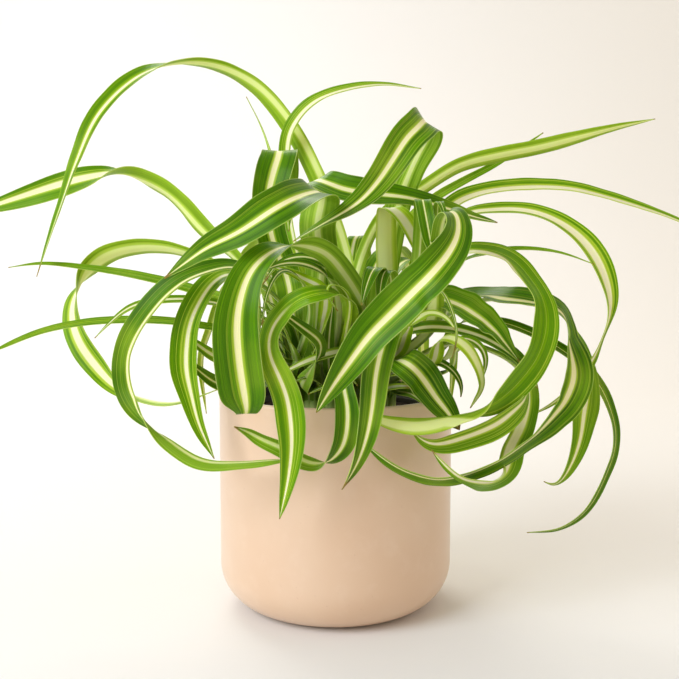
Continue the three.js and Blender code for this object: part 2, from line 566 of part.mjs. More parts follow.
function potGeometry() {
  const foot = POT_RADIUS - FOOT_RADIUS;
  const inner = POT_RADIUS - POT_WALL;
  const innerFoot = foot - POT_WALL;
  const outline = [
    [0, 0],
    ...arc(FOOT_RADIUS, foot, foot, foot, -90, 0, FOOT_STEPS),
    ...arc(POT_RADIUS - RIM_ROUND, POT_HEIGHT - RIM_ROUND, RIM_ROUND, RIM_ROUND, 0, 90, 2),
    ...arc(inner + RIM_ROUND, POT_HEIGHT - RIM_ROUND, RIM_ROUND, RIM_ROUND, 90, 180, 2),
    ...arc(inner - innerFoot, POT_FLOOR + innerFoot, innerFoot, innerFoot, 0, -90, FOOT_STEPS),
    [0, POT_FLOOR],
  ];
  return turned(outline, POT_SIDES);
}

function linerGeometry() {
  const foot = POT_FLOOR + SEAT_GAP;
  const lipLow = LINER_TOP - LINER_LIP_DROP;
  return turned(
    [
      [0, foot],
      [LINER_FOOT_RADIUS - LINER_FOOT_SLOPE, foot],
      [LINER_FOOT_RADIUS, foot + LINER_FLARE],
      [LINER_RADIUS, lipLow],
      [LINER_LIP_RADIUS, lipLow + LINER_LIP_SLOPE],
      [LINER_LIP_RADIUS, LINER_TOP],
      [LINER_LIP_RADIUS - LINER_WALL, LINER_TOP],
      [LINER_LIP_RADIUS - LINER_WALL, lipLow + LINER_LIP_SLOPE + LINER_WALL],
      [LINER_RADIUS - LINER_WALL, lipLow + LINER_WALL],
      [LINER_FOOT_RADIUS - LINER_WALL, foot + LINER_FLARE],
      [LINER_FOOT_RADIUS - LINER_WALL - LINER_FOOT_SLOPE, foot + LINER_WALL],
      [0, foot + LINER_WALL],
    ],
    LINER_SIDES,
  );
}

// The soil fills the liner up to its top. A formula raises small mounds on the rings round the crown.
function soilGeometry() {
  const clear = LINER_WALL + SEAT_GAP;
  const foot = POT_FLOOR + SEAT_GAP + clear;
  const outline = [
    [0, foot],
    [LINER_FOOT_RADIUS - clear - LINER_FOOT_SLOPE, foot],
    [LINER_FOOT_RADIUS - clear, foot + LINER_FLARE],
    [LINER_RADIUS - clear - SOIL_EDGE, SOIL_TOP],
    ...SOIL_RINGS.map((radius) => [radius, SOIL_TOP]),
    [CROWN_RADIUS, SOIL_TOP],
    [0, SOIL_TOP],
  ];
  const geometry = turned(outline, SOIL_SIDES);
  const place = geometry.getAttribute("position");
  const { across, along, start } = SOIL_WAVES;
  for (let k = 0; k < place.count; k++) {
    const [x, y, z] = [place.getX(k), place.getY(k), place.getZ(k)];
    const onRing = SOIL_RINGS.some((radius) => Math.abs(Math.hypot(x, y) - radius) < 0.1);
    const wave = Math.sin(across * x + start) * Math.cos(along * y);
    if (onRing) place.setZ(k, z + (SOIL_BUMP * (1 + wave)) / 2);
  }
  return geometry;
}

// The crown is a low clump on the soil, flat enough on top for every leaf to stand on.
function crownGeometry() {
  const foot = SOIL_TOP + SEAT_GAP;
  return turned(
    [
      [0, foot],
      [CROWN_RADIUS - CROWN_EDGE, foot],
      [CROWN_RADIUS, CROWN_TOP - CROWN_EDGE],
      [CROWN_RADIUS - CROWN_EDGE, CROWN_TOP],
      [0, CROWN_TOP],
    ],
    LINER_SIDES,
  );
}

// A route point's place, moved along the line of sight to its depth.
function placed([across, up, depth]) {
  return new THREE.Vector3(across, 0, up).sub(EYE).multiplyScalar(1 - depth / EYE.y).add(EYE);
}

// The direction that a few side letters add up to.
function facing(letters) {
  const total = new THREE.Vector3();
  for (const letter of letters) total.add(new THREE.Vector3(...SIDES[letter]));
  return total.normalize();
}

// The leaf's width at a share of its length: a narrow base, its full width, and a long taper.
function bladeWidth({ width, fullness, base = BASE_SHARE }, share) {
  const rise = Math.sin((Math.PI / 2) * Math.min(1, share / WIDEST_AT));
  const taper = Math.pow(Math.max(0, 1 - Math.pow(share, fullness)), TAPER_POWER);
  return Math.max(TIP_WIDTH, width * (base + (1 - base) * rise) * taper);
}

// The leaf's centre line and the side that its upper face looks to at each control point.
function leafLine({ foot, route }) {
  const apart = ([x, y]) => Math.hypot(foot[0] - x, foot[1] - y);
  const rosette = ROSETTES.reduce((best, each) => (apart(each) < apart(best) ? each : best));
  const outward = new THREE.Vector3(foot[0] - rosette[0], foot[1] - rosette[1], 0);
  if (outward.length() > 0.5) outward.normalize();
  else outward.set(0, 1, 0);
  const start = new THREE.Vector3(foot[0], foot[1], LEAF_FOOT);
  const neck = start.clone().addScaledVector(outward, LEAF_LEAN);
  neck.z += LEAF_NECK;
  const inward = outward.clone().negate();
  return {
    points: [start, neck, ...route.map(placed)],
    looks: [inward, inward, ...route.map((each) => facing(each[3]))],
  };
}

// Stations along a leaf, closer together where it bends more.
function stations(leaf) {
  const { points, looks } = leafLine(leaf);
  const curve = new THREE.CatmullRomCurve3(points, false, "centripetal");
  const count = (points.length - 1) * FINE;
  const reach = [0];
  const pace = [0];
  for (let k = 1; k <= count; k++) {
    const [a, b] = [(k - 1) / count, k / count];
    const length = curve.getPoint(a).distanceTo(curve.getPoint(b));
    const turn = curve.getTangent(a).angleTo(curve.getTangent(b));
    reach.push(reach[k - 1] + length);
    pace.push(pace[k - 1] + length / STEP + turn / BEND);
  }
  const total = Math.max(FEWEST_STATIONS, Math.ceil(pace[count]));
  const found = [];
  for (let k = 0, at = 1; k <= total; k++) {
    const want = (pace[count] * k) / total;
    while (at < count && pace[at] < want) at++;
    const part = (want - pace[at - 1]) / (pace[at] - pace[at - 1]);
    const along = Math.min(1, (at - 1 + part) / count);
    const place = along * (points.length - 1);
    const first = Math.min(points.length - 2, Math.floor(place));
    found.push({
      centre: curve.getPoint(along),
      ahead: k === 0 ? new THREE.Vector3(0, 0, 1) : curve.getTangent(along),
      look: looks[first].clone().lerp(looks[first + 1], place - first),
      share: (reach[at - 1] + part * (reach[at] - reach[at - 1])) / reach[count],
    });
  }
  return found;
}

// The six corners of a leaf's section, round from the upper left edge to the lower left edge.
function section({ centre, ahead, look, share }, leaf) {
  const up = look.clone().addScaledVector(ahead, -look.dot(ahead)).normalize();
  const right = ahead.clone().cross(up);
  const half = bladeWidth(leaf, share) / 2;
  const corner = (side, below) =>
    centre
      .clone()
      .addScaledVector(right, side * half)
      .addScaledVector(up, Math.abs(side) * half * GROOVE - below);
  return [corner(-1, 0), corner(0, 0), corner(1, 0), corner(1, BLADE), corner(0, BLADE), corner(-1, BLADE)];
}

// Triangles between two sections, with the same diagonals on the upper and the lower face, and the
// two end caps. Numbers are a section's corners, and n stands for the next section.
function leafGeometry(leaf) {
  const sections = stations(leaf).map((each) => section(each, leaf));
  const corners = sections.flat();
  const faces = [];
  for (let k = 0; k < sections.length - 1; k++) {
    const s = 6 * k;
    const n = s + 6;
    faces.push(s + 1, n + 1, s, n + 1, n, s);
    faces.push(s + 2, n + 2, s + 1, n + 2, n + 1, s + 1);
    faces.push(s + 4, s + 5, n + 4, n + 4, s + 5, n + 5);
    faces.push(s + 3, s + 4, n + 3, n + 3, s + 4, n + 4);
    faces.push(s, n, n + 5, s, n + 5, s + 5);
    faces.push(s + 2, s + 3, n + 3, s + 2, n + 3, n + 2);
  }
  const e = 6 * (sections.length - 1);
  faces.push(2, 1, 4, 2, 4, 3, 1, 0, 5, 1, 5, 4);
  faces.push(e + 1, e + 2, e + 4, e + 4, e + 2, e + 3, e, e + 1, e + 5, e + 5, e + 1, e + 4);
  const geometry = new THREE.BufferGeometry().setFromPoints(corners);
  geometry.setIndex(faces);
  geometry.computeVertexNormals();
  return geometry;
}

const plant = new THREE.Group();

function add(name, geometry, material) {
  geometry.deleteAttribute("uv");
  const mesh = new THREE.Mesh(geometry, material);
  mesh.name = name;
  plant.add(mesh);
}

add("pot", potGeometry(), POT_FINISH);
add("grow_pot", linerGeometry(), LINER_FINISH);
add("soil", soilGeometry(), SOIL_FINISH);
add("crown", crownGeometry(), CROWN_FINISH);
for (const leaf of LEAVES) add(`leaf_${leaf.name}`, leafGeometry(leaf), leaf.tone);

export default plant;
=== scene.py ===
"""A potted spider plant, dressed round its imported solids.

A satin peach cover pot with a dark grow pot and crumbly soil in it, and a crown of long channelled
leaves, each with a cream stripe, yellow-green lines beside it, fine veins and a small dry tip. Sizes
are in millimetres and become metres where a mesh is made. +Z is up and the front looks to -Y.
"""

from __future__ import annotations

import logging
import math
import random
from dataclasses import dataclass, field
from enum import Enum

import bpy
import numpy as np
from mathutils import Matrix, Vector

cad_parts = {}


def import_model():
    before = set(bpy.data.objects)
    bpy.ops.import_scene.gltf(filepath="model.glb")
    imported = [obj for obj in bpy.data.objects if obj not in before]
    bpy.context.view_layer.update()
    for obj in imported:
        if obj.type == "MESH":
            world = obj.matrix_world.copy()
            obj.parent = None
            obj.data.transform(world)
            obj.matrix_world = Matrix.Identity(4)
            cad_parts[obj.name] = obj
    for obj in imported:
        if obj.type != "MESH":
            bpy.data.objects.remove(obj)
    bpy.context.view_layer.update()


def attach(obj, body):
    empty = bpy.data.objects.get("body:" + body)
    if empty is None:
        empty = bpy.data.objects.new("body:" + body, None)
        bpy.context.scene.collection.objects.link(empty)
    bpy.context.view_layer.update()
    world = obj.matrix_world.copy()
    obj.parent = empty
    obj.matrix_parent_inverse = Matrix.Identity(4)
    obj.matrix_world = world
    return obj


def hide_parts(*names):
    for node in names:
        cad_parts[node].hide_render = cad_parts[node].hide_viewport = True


LOG = logging.getLogger("spider_plant")
MM = 0.001
BODY = "root"

Point = tuple[float, float]
RoutePoint = tuple[float, float, float, str]


class Tone(Enum):
    """How green a leaf is, with the record's material slot of that green."""

    DEEP = "leaf_deep"
    MIDDLE = "leaf_mid"
    LIGHT = "leaf_light"


def colour(code: str) -> tuple[float, float, float, float]:
    """A colour given as six hexadecimal digits, in the linear values that a shader takes.

    Args:
        code: The six digits, two each for red, green and blue.

    Returns:
        Red, green, blue and a full alpha.
    """

    def linear(part: float) -> float:
        """One channel from its display value to its linear value."""
        return part / 12.92 if part <= 0.04045 else ((part + 0.055) / 1.055) ** 2.4

    red, green, blue = (linear(int(code[k : k + 2], 16) / 255) for k in (0, 2, 4))
    return (red, green, blue, 1.0)


@dataclass
class Value:
    """A number that varies over a surface. Arithmetic on it adds the Math nodes that work it out."""

    paint: Paint
    socket: bpy.types.NodeSocket

    def __add__(self, other: Value | float) -> Value:
        """The sum of this value and another."""
        return self.paint.math("ADD", self, other)

    def __radd__(self, other: float) -> Value:
        """The sum of a number and this value."""
        return self.paint.math("ADD", other, self)

    def __sub__(self, other: Value | float) -> Value:
        """This value less another."""
        return self.paint.math("SUBTRACT", self, other)

    def __rsub__(self, other: float) -> Value:
        """A number less this value."""
        return self.paint.math("SUBTRACT", other, self)

    def __mul__(self, other: Value | float) -> Value:
        """The product of this value and another."""
        return self.paint.math("MULTIPLY", self, other)

    def __rmul__(self, other: float) -> Value:
        """The product of a number and this value."""
        return self.paint.math("MULTIPLY", other, self)

    def __pow__(self, other: float) -> Value:
        """This value raised to a power."""
        return self.paint.math("POWER", self, other)

    def __abs__(self) -> Value:
        """The size of this value without its sign."""
        return self.paint.math("ABSOLUTE", self)


class Paint:
    """One finish: a material and the nodes that feed its surface shader."""

    def __init__(self, name: str) -> None:
        """Starts a material of that name with one surface shader.

        Args:
            name: The material's name.
        """
        self.material = bpy.data.materials.new(name)
        self.material.use_nodes = True
        self.tree = self.material.node_tree
        self.surface = self.tree.nodes["Principled BSDF"]

    def node(self, kind: str, settings: dict | None = None, sockets: dict | None = None) -> bpy.types.Node:
        """Adds one node.

        Args:
            kind: The node's type without its ShaderNode prefix.
            settings: The node's own settings, which are set first.
            sockets: What goes into its inputs, by name or place: a Value to link, or a constant.

        Returns:
            The new node.
        """
        node = self.tree.nodes.new("ShaderNode" + kind)
        for key, setting in (settings or {}).items():
            setattr(node, key, setting)
        for key, entry in (sockets or {}).items():
            if isinstance(entry, Value):
                self.tree.links.new(entry.socket, node.inputs[key])
            else:
                node.inputs[key].default_value = entry
        return node

    def value(self, node: bpy.types.Node, output: str | int = 0) -> Value:
        """One output of a node, as a value."""
        return Value(self, node.outputs[output])

    def math(self, operation: str, *terms: Value | float) -> Value:
        """The result of one Math operation on its terms."""
        return self.value(self.node("Math", {"operation": operation}, dict(enumerate(terms))))

    def step(self, value: Value, low: float | Value, high: float | Value) -> Value:
        """A smooth rise from 0 where a value is low to 1 where it is high."""
        settings = {"interpolation_type": "SMOOTHSTEP"}
        return self.value(self.node("MapRange", settings, {0: value, 1: low, 2: high}))

    def mix(self, amount: Value | float, first: Value | tuple, second: Value | tuple) -> Value:
        """Two colours mixed, with all of the second where the amount is 1."""
        settings = {"data_type": "RGBA", "clamp_factor": True}
        return self.value(self.node("Mix", settings, {0: amount, 6: first, 7: second}), 2)

    def noise(self, vector: Value, scale: float, detail: float = 2.0, roughness: float = 0.5) -> Value:
        """Soft noise from 0 to 1 over a place."""
        sockets = {"Vector": vector, "Scale": scale, "Detail": detail, "Roughness": roughness}
        return self.value(self.node("TexNoise", None, sockets))

    def place(self) -> Value:
        """The place on the object, in metres."""
        return self.value(self.node("TexCoord"), "Object")

    def combine(self, x: Value | float, y: Value | float, z: Value | float) -> Value:
        """A vector made of three values."""
        return self.value(self.node("CombineXYZ", None, {0: x, 1: y, 2: z}))

    def attribute(self, name: str) -> Value:
        """One of the piece's own attributes."""
        return self.value(self.node("Attribute", {"attribute_name": name}), "Fac")

    def axis(self, vector: Value, number: int) -> Value:
        """One of a vector's x, y and z, counted from 0."""
        return self.value(self.node("SeparateXYZ", None, {0: vector}), number)

    def over(self, body: Value, amount: Value, code: str) -> Value:
        """A body with a colour, given by its digits, laid over it by an amount."""
        return self.mix(amount, body, colour(code))

    def bump(self, height: Value, depth: float, strength: float = 1.0) -> Value:
        """The surface's tilt from a height of that depth in metres."""
        sockets = {"Strength": strength, "Distance": depth, "Height": height}
        return self.value(self.node("Bump", None, sockets))

    def feed(self, **entries: Value | float | tuple) -> None:
        """Sets or links the surface shader's inputs, named with _ for a space.

        Args:
            entries: What goes into each input: a Value to link, or a constant.
        """
        for key, entry in entries.items():
            socket = self.surface.inputs[key.replace("_", " ")]
            if isinstance(entry, Value):
                self.tree.links.new(entry.socket, socket)
            else:
                socket.default_value = entry


# The eye that the photograph was taken from, in millimetres.
EYE = np.array([2.4, -608.0, 215.0])

# How a leaf leaves the crown: the height of its foot, how far it rises before its route starts, and how
# far it leans out there from the nearest rosette's middle. A foot closer to it than LEAST_LEAN leans back.
LEAF_FOOT = 121.0
LEAF_NECK = 13.0
LEAF_LEAN = 1.5
LEAST_LEAN = 0.5
ROSETTES = ((-14, -8), (18, -8), (2, 15))

# The letters that name the way a leaf's upper side looks: front, back, up, down, left and right.
DIRECTIONS = {
    "F": (0, -1, 0),
    "B": (0, 1, 0),
    "U": (0, 0, 1),
    "D": (0, 0, -1),
    "L": (-1, 0, 0),
    "R": (1, 0, 0),
}

# How a middle line is run through a route: the even step that it is smoothed on and how far the smoothing
# of its places and facings reaches, in millimetres, and the most radians it turns between two stations.
FINE_STEP = 1.5
PLACE_REACH = 3.5
FACING_REACH = 9.0
MOST_TURN = 0.12

# Where a blade without a list of girths is widest, how it tapers to its tip, and how finely a list of
# girths is read and softened, as shares of the length.
WIDEST_AT = 0.3
TAPER_POWER = 0.9
GIRTH_STEPS = 100
GIRTH_REACH = 0.014

# A leaf that is plain until this share of its length has no stripe at all.
ALL_PLAIN = 1.2


def unit(rows: np.ndarray) -> np.ndarray:
    """Each row of an array at length 1."""
    return rows / np.maximum(np.linalg.norm(rows, axis=-1, keepdims=True), 1e-9)


def sample(at: np.ndarray, known: np.ndarray, rows: np.ndarray) -> np.ndarray:
    """Rows of x, y and z read between the known places."""
    return np.stack([np.interp(at, known, rows[:, k]) for k in range(3)], axis=1)


def read_off(share: np.ndarray, known: list[Point]) -> np.ndarray:
    """A list of (share, value) pairs, read at each share."""
    shares, values = zip(*known)
    return np.interp(share, shares, values)


def soften(rows: np.ndarray, reach: float) -> np.ndarray:
    """Averages rows with their neighbours along a line, with both ends held.

    Args:
        rows: One row for each even step along the line.
        reach: How many steps the average reaches.

    Returns:
        The softer rows.
    """
    steps = min(math.ceil(reach * 3), len(rows) - 2)
    weights = np.exp(-0.5 * (np.arange(-steps, steps + 1) / reach) ** 2)
    before, after = 2 * rows[0] - rows[steps:0:-1], 2 * rows[-1] - rows[-2 : -steps - 2 : -1]
    padded = np.concatenate([before, rows, after])
    columns = [np.convolve(column, weights / weights.sum(), "valid") for column in padded.T]
    return np.stack(columns, axis=1)


def deselect() -> None:
    """Leaves edit mode with nothing selected."""
    if bpy.context.object and bpy.context.object.mode != "OBJECT":
        bpy.ops.object.mode_set(mode="OBJECT")
    bpy.ops.object.select_all(action="DESELECT")


def smooth(degrees: float) -> None:
    """Shades the chosen piece smoothly wherever its faces meet at less than this angle."""
    bpy.ops.object.shade_smooth_by_angle(angle=math.radians(degrees))


def points_of(mesh: bpy.types.Mesh) -> np.ndarray:
    """A mesh's vertices as rows of x, y and z.

    Args:
        mesh: The mesh.

    Returns:
        One row for each vertex, in metres.
    """
    flat = np.empty(len(mesh.vertices) * 3)
    mesh.vertices.foreach_get("co", flat)
    return flat.reshape(-1, 3)


def move_points(mesh: bpy.types.Mesh, points: np.ndarray) -> None:
    """Puts a mesh's vertices at these rows of x, y and z."""
    mesh.vertices.foreach_set("co", points.reshape(-1))
    mesh.update()


def add_attribute(mesh: bpy.types.Mesh, name: str, values: np.ndarray | float) -> None:
    """Gives the vertices of a mesh one number each, or all the same, for a material to read by name."""
    each = np.full(len(mesh.vertices), values, np.float32)
    mesh.attributes.new(name, "FLOAT", "POINT").data.foreach_set("value", each)


@dataclass
class Spine:
    """The middle line of a leaf in millimetres, with what it needs to carry a blade."""

    places: np.ndarray
    along: np.ndarray
    up: np.ndarray
    side: np.ndarray
    share: np.ndarray
    length: float

    def bends(self) -> np.ndarray:
        """How sharply the line bends at each station, as 1 over its radius in millimetres."""
        run = self.share * self.length
        return np.linalg.norm(np.gradient(self.along, run, axis=0), axis=1)


@dataclass
class Leaf:
    """One leaf, as it was read off the photograph.

    A route point is (across, height, depth, facing). Across and height are millimetres in the upright
    plane through the middle of the pot, depth is how far behind that plane the leaf is, and facing
    names the way its upper side looks. The leaf rises from its foot (x, y) on the crown. Where the
    photograph shows how wide the blade is, girth lists it as (share of the length, width). Elsewhere
    width is its greatest width, base the share of that at its foot, and fullness how late it narrows.
    The stripe takes a share of the width, and aside lists how far it lies to the right, looking to the
    tip, as (share of the length, share of half the width). Past 1 it is off the blade. The leaf has no
    stripe below plain_until, a share of its length.
    """

    name: str
    tone: Tone
    width: float
    foot: Point
    route: list[RoutePoint]
    fullness: float = 3.0
    base: float = 0.5
    girth: list[Point] = field(default_factory=list)
    stripe: float = 0.15
    aside: list[Point] = field(default_factory=list)
    plain_until: float = 0.0

    def controls(self) -> tuple[np.ndarray, np.ndarray]:
        """The leaf's route in space.

        Returns:
            The points that the middle line passes, and the facing at each.
        """
        foot = np.array([*self.foot, LEAF_FOOT])
        _, near = min((math.dist(place, self.foot), place) for place in ROSETTES)
        lean = np.array([self.foot[0] - near[0], self.foot[1] - near[1], 0.0])
        far = np.linalg.norm(lean)
        lean = lean / far if far > LEAST_LEAN else np.array([0.0, 1.0, 0.0])
        places = [foot, foot + np.array([0, 0, LEAF_NECK]) + LEAF_LEAN * lean]
        facings = [-lean, -lean]
        for across, height, depth, facing in self.route:
            plane = np.array([across, 0.0, height])
            places.append(EYE + (plane - EYE) * (1 - depth / EYE[1]))
            ways = [DIRECTIONS[letter] for letter in facing]
            facings.append(unit(np.sum(ways, axis=0).astype(float)))
        return np.array(places), np.array(facings)

    def spine(self, step: float) -> Spine:
        """Runs a smooth line through the route.

        Args:
            step: The distance between stations on it, closer where it bends.

        Returns:
            The line, its direction, and the blade's up and side directions at each station.
        """
        places, facings = self.controls()
        curve, order = smooth_line(places)
        stretch = np.r_[0, np.cumsum(np.linalg.norm(np.diff(curve, axis=0), axis=1))]
        even = np.linspace(0, stretch[-1], math.ceil(stretch[-1] / FINE_STEP) + 1)
        at = np.interp(even, stretch, order)
        first = np.clip(at.astype(int), 0, len(places) - 2)
        part = (at - first)[:, None]
        facing = soften(facings[first] * (1 - part) + facings[first + 1] * part, FACING_REACH / FINE_STEP)
        curve = soften(sample(even, stretch, curve), PLACE_REACH / FINE_STEP)
        run = np.r_[0, np.cumsum(np.linalg.norm(np.diff(curve, axis=0), axis=1))]
        along = unit(np.gradient(curve, axis=0))
        turn = np.r_[0, np.arccos(np.clip(np.sum(along[1:] * along[:-1], axis=1), -1, 1))]
        measure = run / step + np.cumsum(turn) / MOST_TURN
        stations = np.interp(np.linspace(0, measure[-1], math.ceil(measure[-1]) + 1), measure, run)
        middle, along, facing = (sample(stations, run, rows) for rows in (curve, along, facing))
        along = unit(along)
        along[0] = (0, 0, 1)
        up = unit(facing - np.sum(facing * along, axis=1, keepdims=True) * along)
        return Spine(middle, along, up, np.cross(along, up), stations / run[-1], float(run[-1]))

    def stripe_offset(self, share: np.ndarray) -> np.ndarray:
        """How far the stripe lies to the blade's right at each share of its length."""
        return read_off(share, self.aside or [(0.0, 0.0)])

    def widths(self, share: np.ndarray, tip: float) -> np.ndarray:
        """How wide the blade is at each share of its length, and never under a tip's width.

        Args:
            share: The shares of the length.
            tip: The least width.

        Returns:
            The width at each share, in millimetres.
        """
        if self.girth:
            even = np.linspace(0, 1, GIRTH_STEPS + 1)
            read = soften(read_off(even, self.girth)[:, None], GIRTH_REACH * GIRTH_STEPS)
            return np.maximum(tip, np.interp(share, even, read[:, 0]))
        rise = self.base + (1 - self.base) * np.sin(math.pi / 2 * np.clip(share / WIDEST_AT, 0, 1))
        return np.maximum(tip, self.width * rise * (1 - share**self.fullness) ** TAPER_POWER)


def smooth_line(points: np.ndarray, fine: int = 24) -> tuple[np.ndarray, np.ndarray]:
    """A centripetal curve through points.

    Args:
        points: The points it passes.
        fine: Its steps between two points.

    Returns:
        Points along the curve, and how many given points each has passed.
    """
    ends = np.vstack([2 * points[0] - points[1], points, 2 * points[-1] - points[-2]])
    curve, order = [], []
    for k in range(len(points) - 1):
        p0, p1, p2, p3 = ends[k : k + 4]
        d0, d1, d2 = (max(math.dist(a, b) ** 0.5, 1e-3) for a, b in ((p0, p1), (p1, p2), (p2, p3)))
        t1 = ((p1 - p0) / d0 - (p2 - p0) / (d0 + d1) + (p2 - p1) / d1) * d1
        t2 = ((p2 - p1) / d1 - (p3 - p1) / (d1 + d2) + (p3 - p2) / d2) * d1
        last = k == len(points) - 2
        for t in np.linspace(0, 1, fine + last, endpoint=last):
            bend = (-3 * p1 + 3 * p2 - 2 * t1 - t2) * t**2 + (2 * p1 - 2 * p2 + t1 + t2) * t**3
            curve.append(p1 + t1 * t + bend)
            order.append(k + t)
    return np.array(curve), np.array(order)


@dataclass(frozen=True)
class Streaks:
    """Soft streaks along a blade: how many lie side by side across it and end to end in a metre of it.

    The shift and the drift move the pattern from blade to blade. Detail and roughness make it finer.
    """

    across: float
    along: float
    shift: float
    drift: float
    detail: float
    roughness: float = 0.5

    def draw(self, paint: Paint, across: Value, run: Value, chance: Value) -> Value:
        """Draws the streaks on a blade.

        Args:
            paint: The finish that they are part of.
            across: The place across the blade, from 0 to 1.
            run: The length from the foot, in metres.
            chance: The blade's own number.

        Returns:
            The streaks, from 0 to 1.
        """
        place = paint.combine(
            across * self.across + chance * self.shift, run * self.along, chance * self.drift
        )
        return paint.noise(place, 1.0, self.detail, self.roughness)


FINE_STREAKS = Streaks(46, 9, 90, 31, 3.0, 0.6)
BROAD_STREAKS = Streaks(11, 4, 70, 17, 2.0)
PALE_LINES = Streaks(17, 2.5, 55, 23, 1.0)

# The fine ribs, as radians of a wave across a blade, and the colours that all leaves share.
# The dark leaf-base green is painted shade, laid over the lowest part of each leaf where the clump shades
# it.
RIBS = 150
LEAF_BASE_SHADE = "4E7018"
LEAF_EDGE = "BCCC70"
DRY_TIP = "8A6A34"
LEAF_SHINE = "F0FFC8"


@dataclass(frozen=True)
class BladePaint:
    """The colours of one side of a leaf, from its edge to its middle.

    The margin's two greens change in patches. The halo is the yellow-green beside the stripe, and lines
    says how much of it shows as thin lines in the margin. The middle is the stripe, spread says how
    wide it looks on this side, and glow is how much light spreads inside the blade.
    """

    margin: str
    margin_dark: str
    halo: str
    middle: str
    spread: float
    lines: float
    roughness: float
    glow: float

    def build(self, name: str) -> bpy.types.Material:
        """Makes the finish.

        Args:
            name: The material's name.

        Returns:
            The material, whose pattern follows the leaf's own map and attributes.
        """
        paint = Paint(name)
        place = paint.value(paint.node("UVMap", {"uv_map": "UVMap"}))
        across, share = paint.axis(place, 0), paint.axis(place, 1)
        names = ("run", "to_tip", "chance", "stripe", "aside", "plain_until")
        run, to_tip, chance, stripe, aside, plain_until = (paint.attribute(name) for name in names)
        fine, broad, line = (
            streaks.draw(paint, across, run, chance) for streaks in (FINE_STREAKS, BROAD_STREAKS, PALE_LINES)
        )
        cloud = paint.noise(paint.place(), 26.0)

        rim = abs(across * 2 - 1)
        edge = abs(across * 2 - 1 - aside) + (fine - 0.5) * 0.09 + (broad - 0.5) * 0.09
        half = stripe * self.spread * (paint.step(share, 0.0, 0.12) * 0.5 + 0.5)
        striped = paint.step(share - plain_until, -0.04, 0.04)
        pale = (1 - paint.step(edge, half * 0.75, half * 1.2)) * striped
        beside = (1 - paint.step(edge, half * 1.1, half * 1.5 + 0.1)) * striped
        dry_from = chance**6 * 0.005 + 0.0005
        dry = 1 - paint.step(to_tip + (fine - 0.5) * 0.003, dry_from, dry_from * 2 + 0.001)

        body = paint.mix(paint.step(broad, 0.25, 0.75), colour(self.margin), colour(self.margin_dark))
        body = paint.over(body, paint.step(cloud, 0.45, 0.8) * 0.3, self.halo)
        body = paint.over(body, paint.step(line, 0.56, 0.66) * self.lines, self.halo)
        body = paint.over(body, paint.step(fine, 0.5, 0.66) * 0.55, self.margin_dark)
        body = paint.over(body, beside * 0.75, self.halo)
        body = paint.over(body, pale * (0.97 - paint.step(fine, 0.55, 0.75) * 0.2), self.middle)
        # Painted shade: each leaf's lowest few centimetres darkened towards the crown, where the clump
        # shades it.
        body = paint.over(body, (1 - paint.step(run, 0.02, 0.085)) * 0.75, LEAF_BASE_SHADE)
        body = paint.over(body, paint.step(rim, 0.95, 1.0) * 0.5, LEAF_EDGE)
        body = paint.over(body, dry * 0.85, DRY_TIP)
        ribs = paint.math("SINE", across * RIBS + fine * 3) * 0.4 + broad * 1.1 + fine * 0.9
        paint.feed(
            Base_Color=body,
            Roughness=self.roughness + (broad - 0.5) * 0.14 + dry * 0.3,
            Normal=paint.bump(ribs, 0.0001, 0.6),
            IOR=1.45,
            Specular_IOR_Level=0.22,
            Specular_Tint=colour(LEAF_SHINE),
            Subsurface_Weight=self.glow,
            Subsurface_Radius=(0.9, 0.8, 0.05),
            Subsurface_Scale=0.0014,
        )
        return paint.material


UPPER_SIDES = {
    Tone.DEEP: BladePaint("588C00", "305C00", "B4CC3C", "F0EAB4", 0.95, 0.3, 0.29, 0.2),
    Tone.MIDDLE: BladePaint("7AA606", "4A8000", "C4D646", "F3EFC6", 1.05, 0.6, 0.3, 0.25),
    Tone.LIGHT: BladePaint("A4C81E", "82B200", "CEE048", "F4F1CA", 1.0, 0.45, 0.32, 0.3),
}
UNDER_SIDES = {
    Tone.DEEP: BladePaint("8CB42A", "6A9412", "B8D056", "D8E298", 1.3, 0.5, 0.4, 0.3),
    Tone.MIDDLE: BladePaint("98BC28", "789E10", "BED650", "E2EE9C", 1.45, 0.5, 0.4, 0.3),
    Tone.LIGHT: BladePaint("A8CC2A", "88AC10", "CCE054", "EEF6AC", 1.5, 0.5, 0.42, 0.35),
}


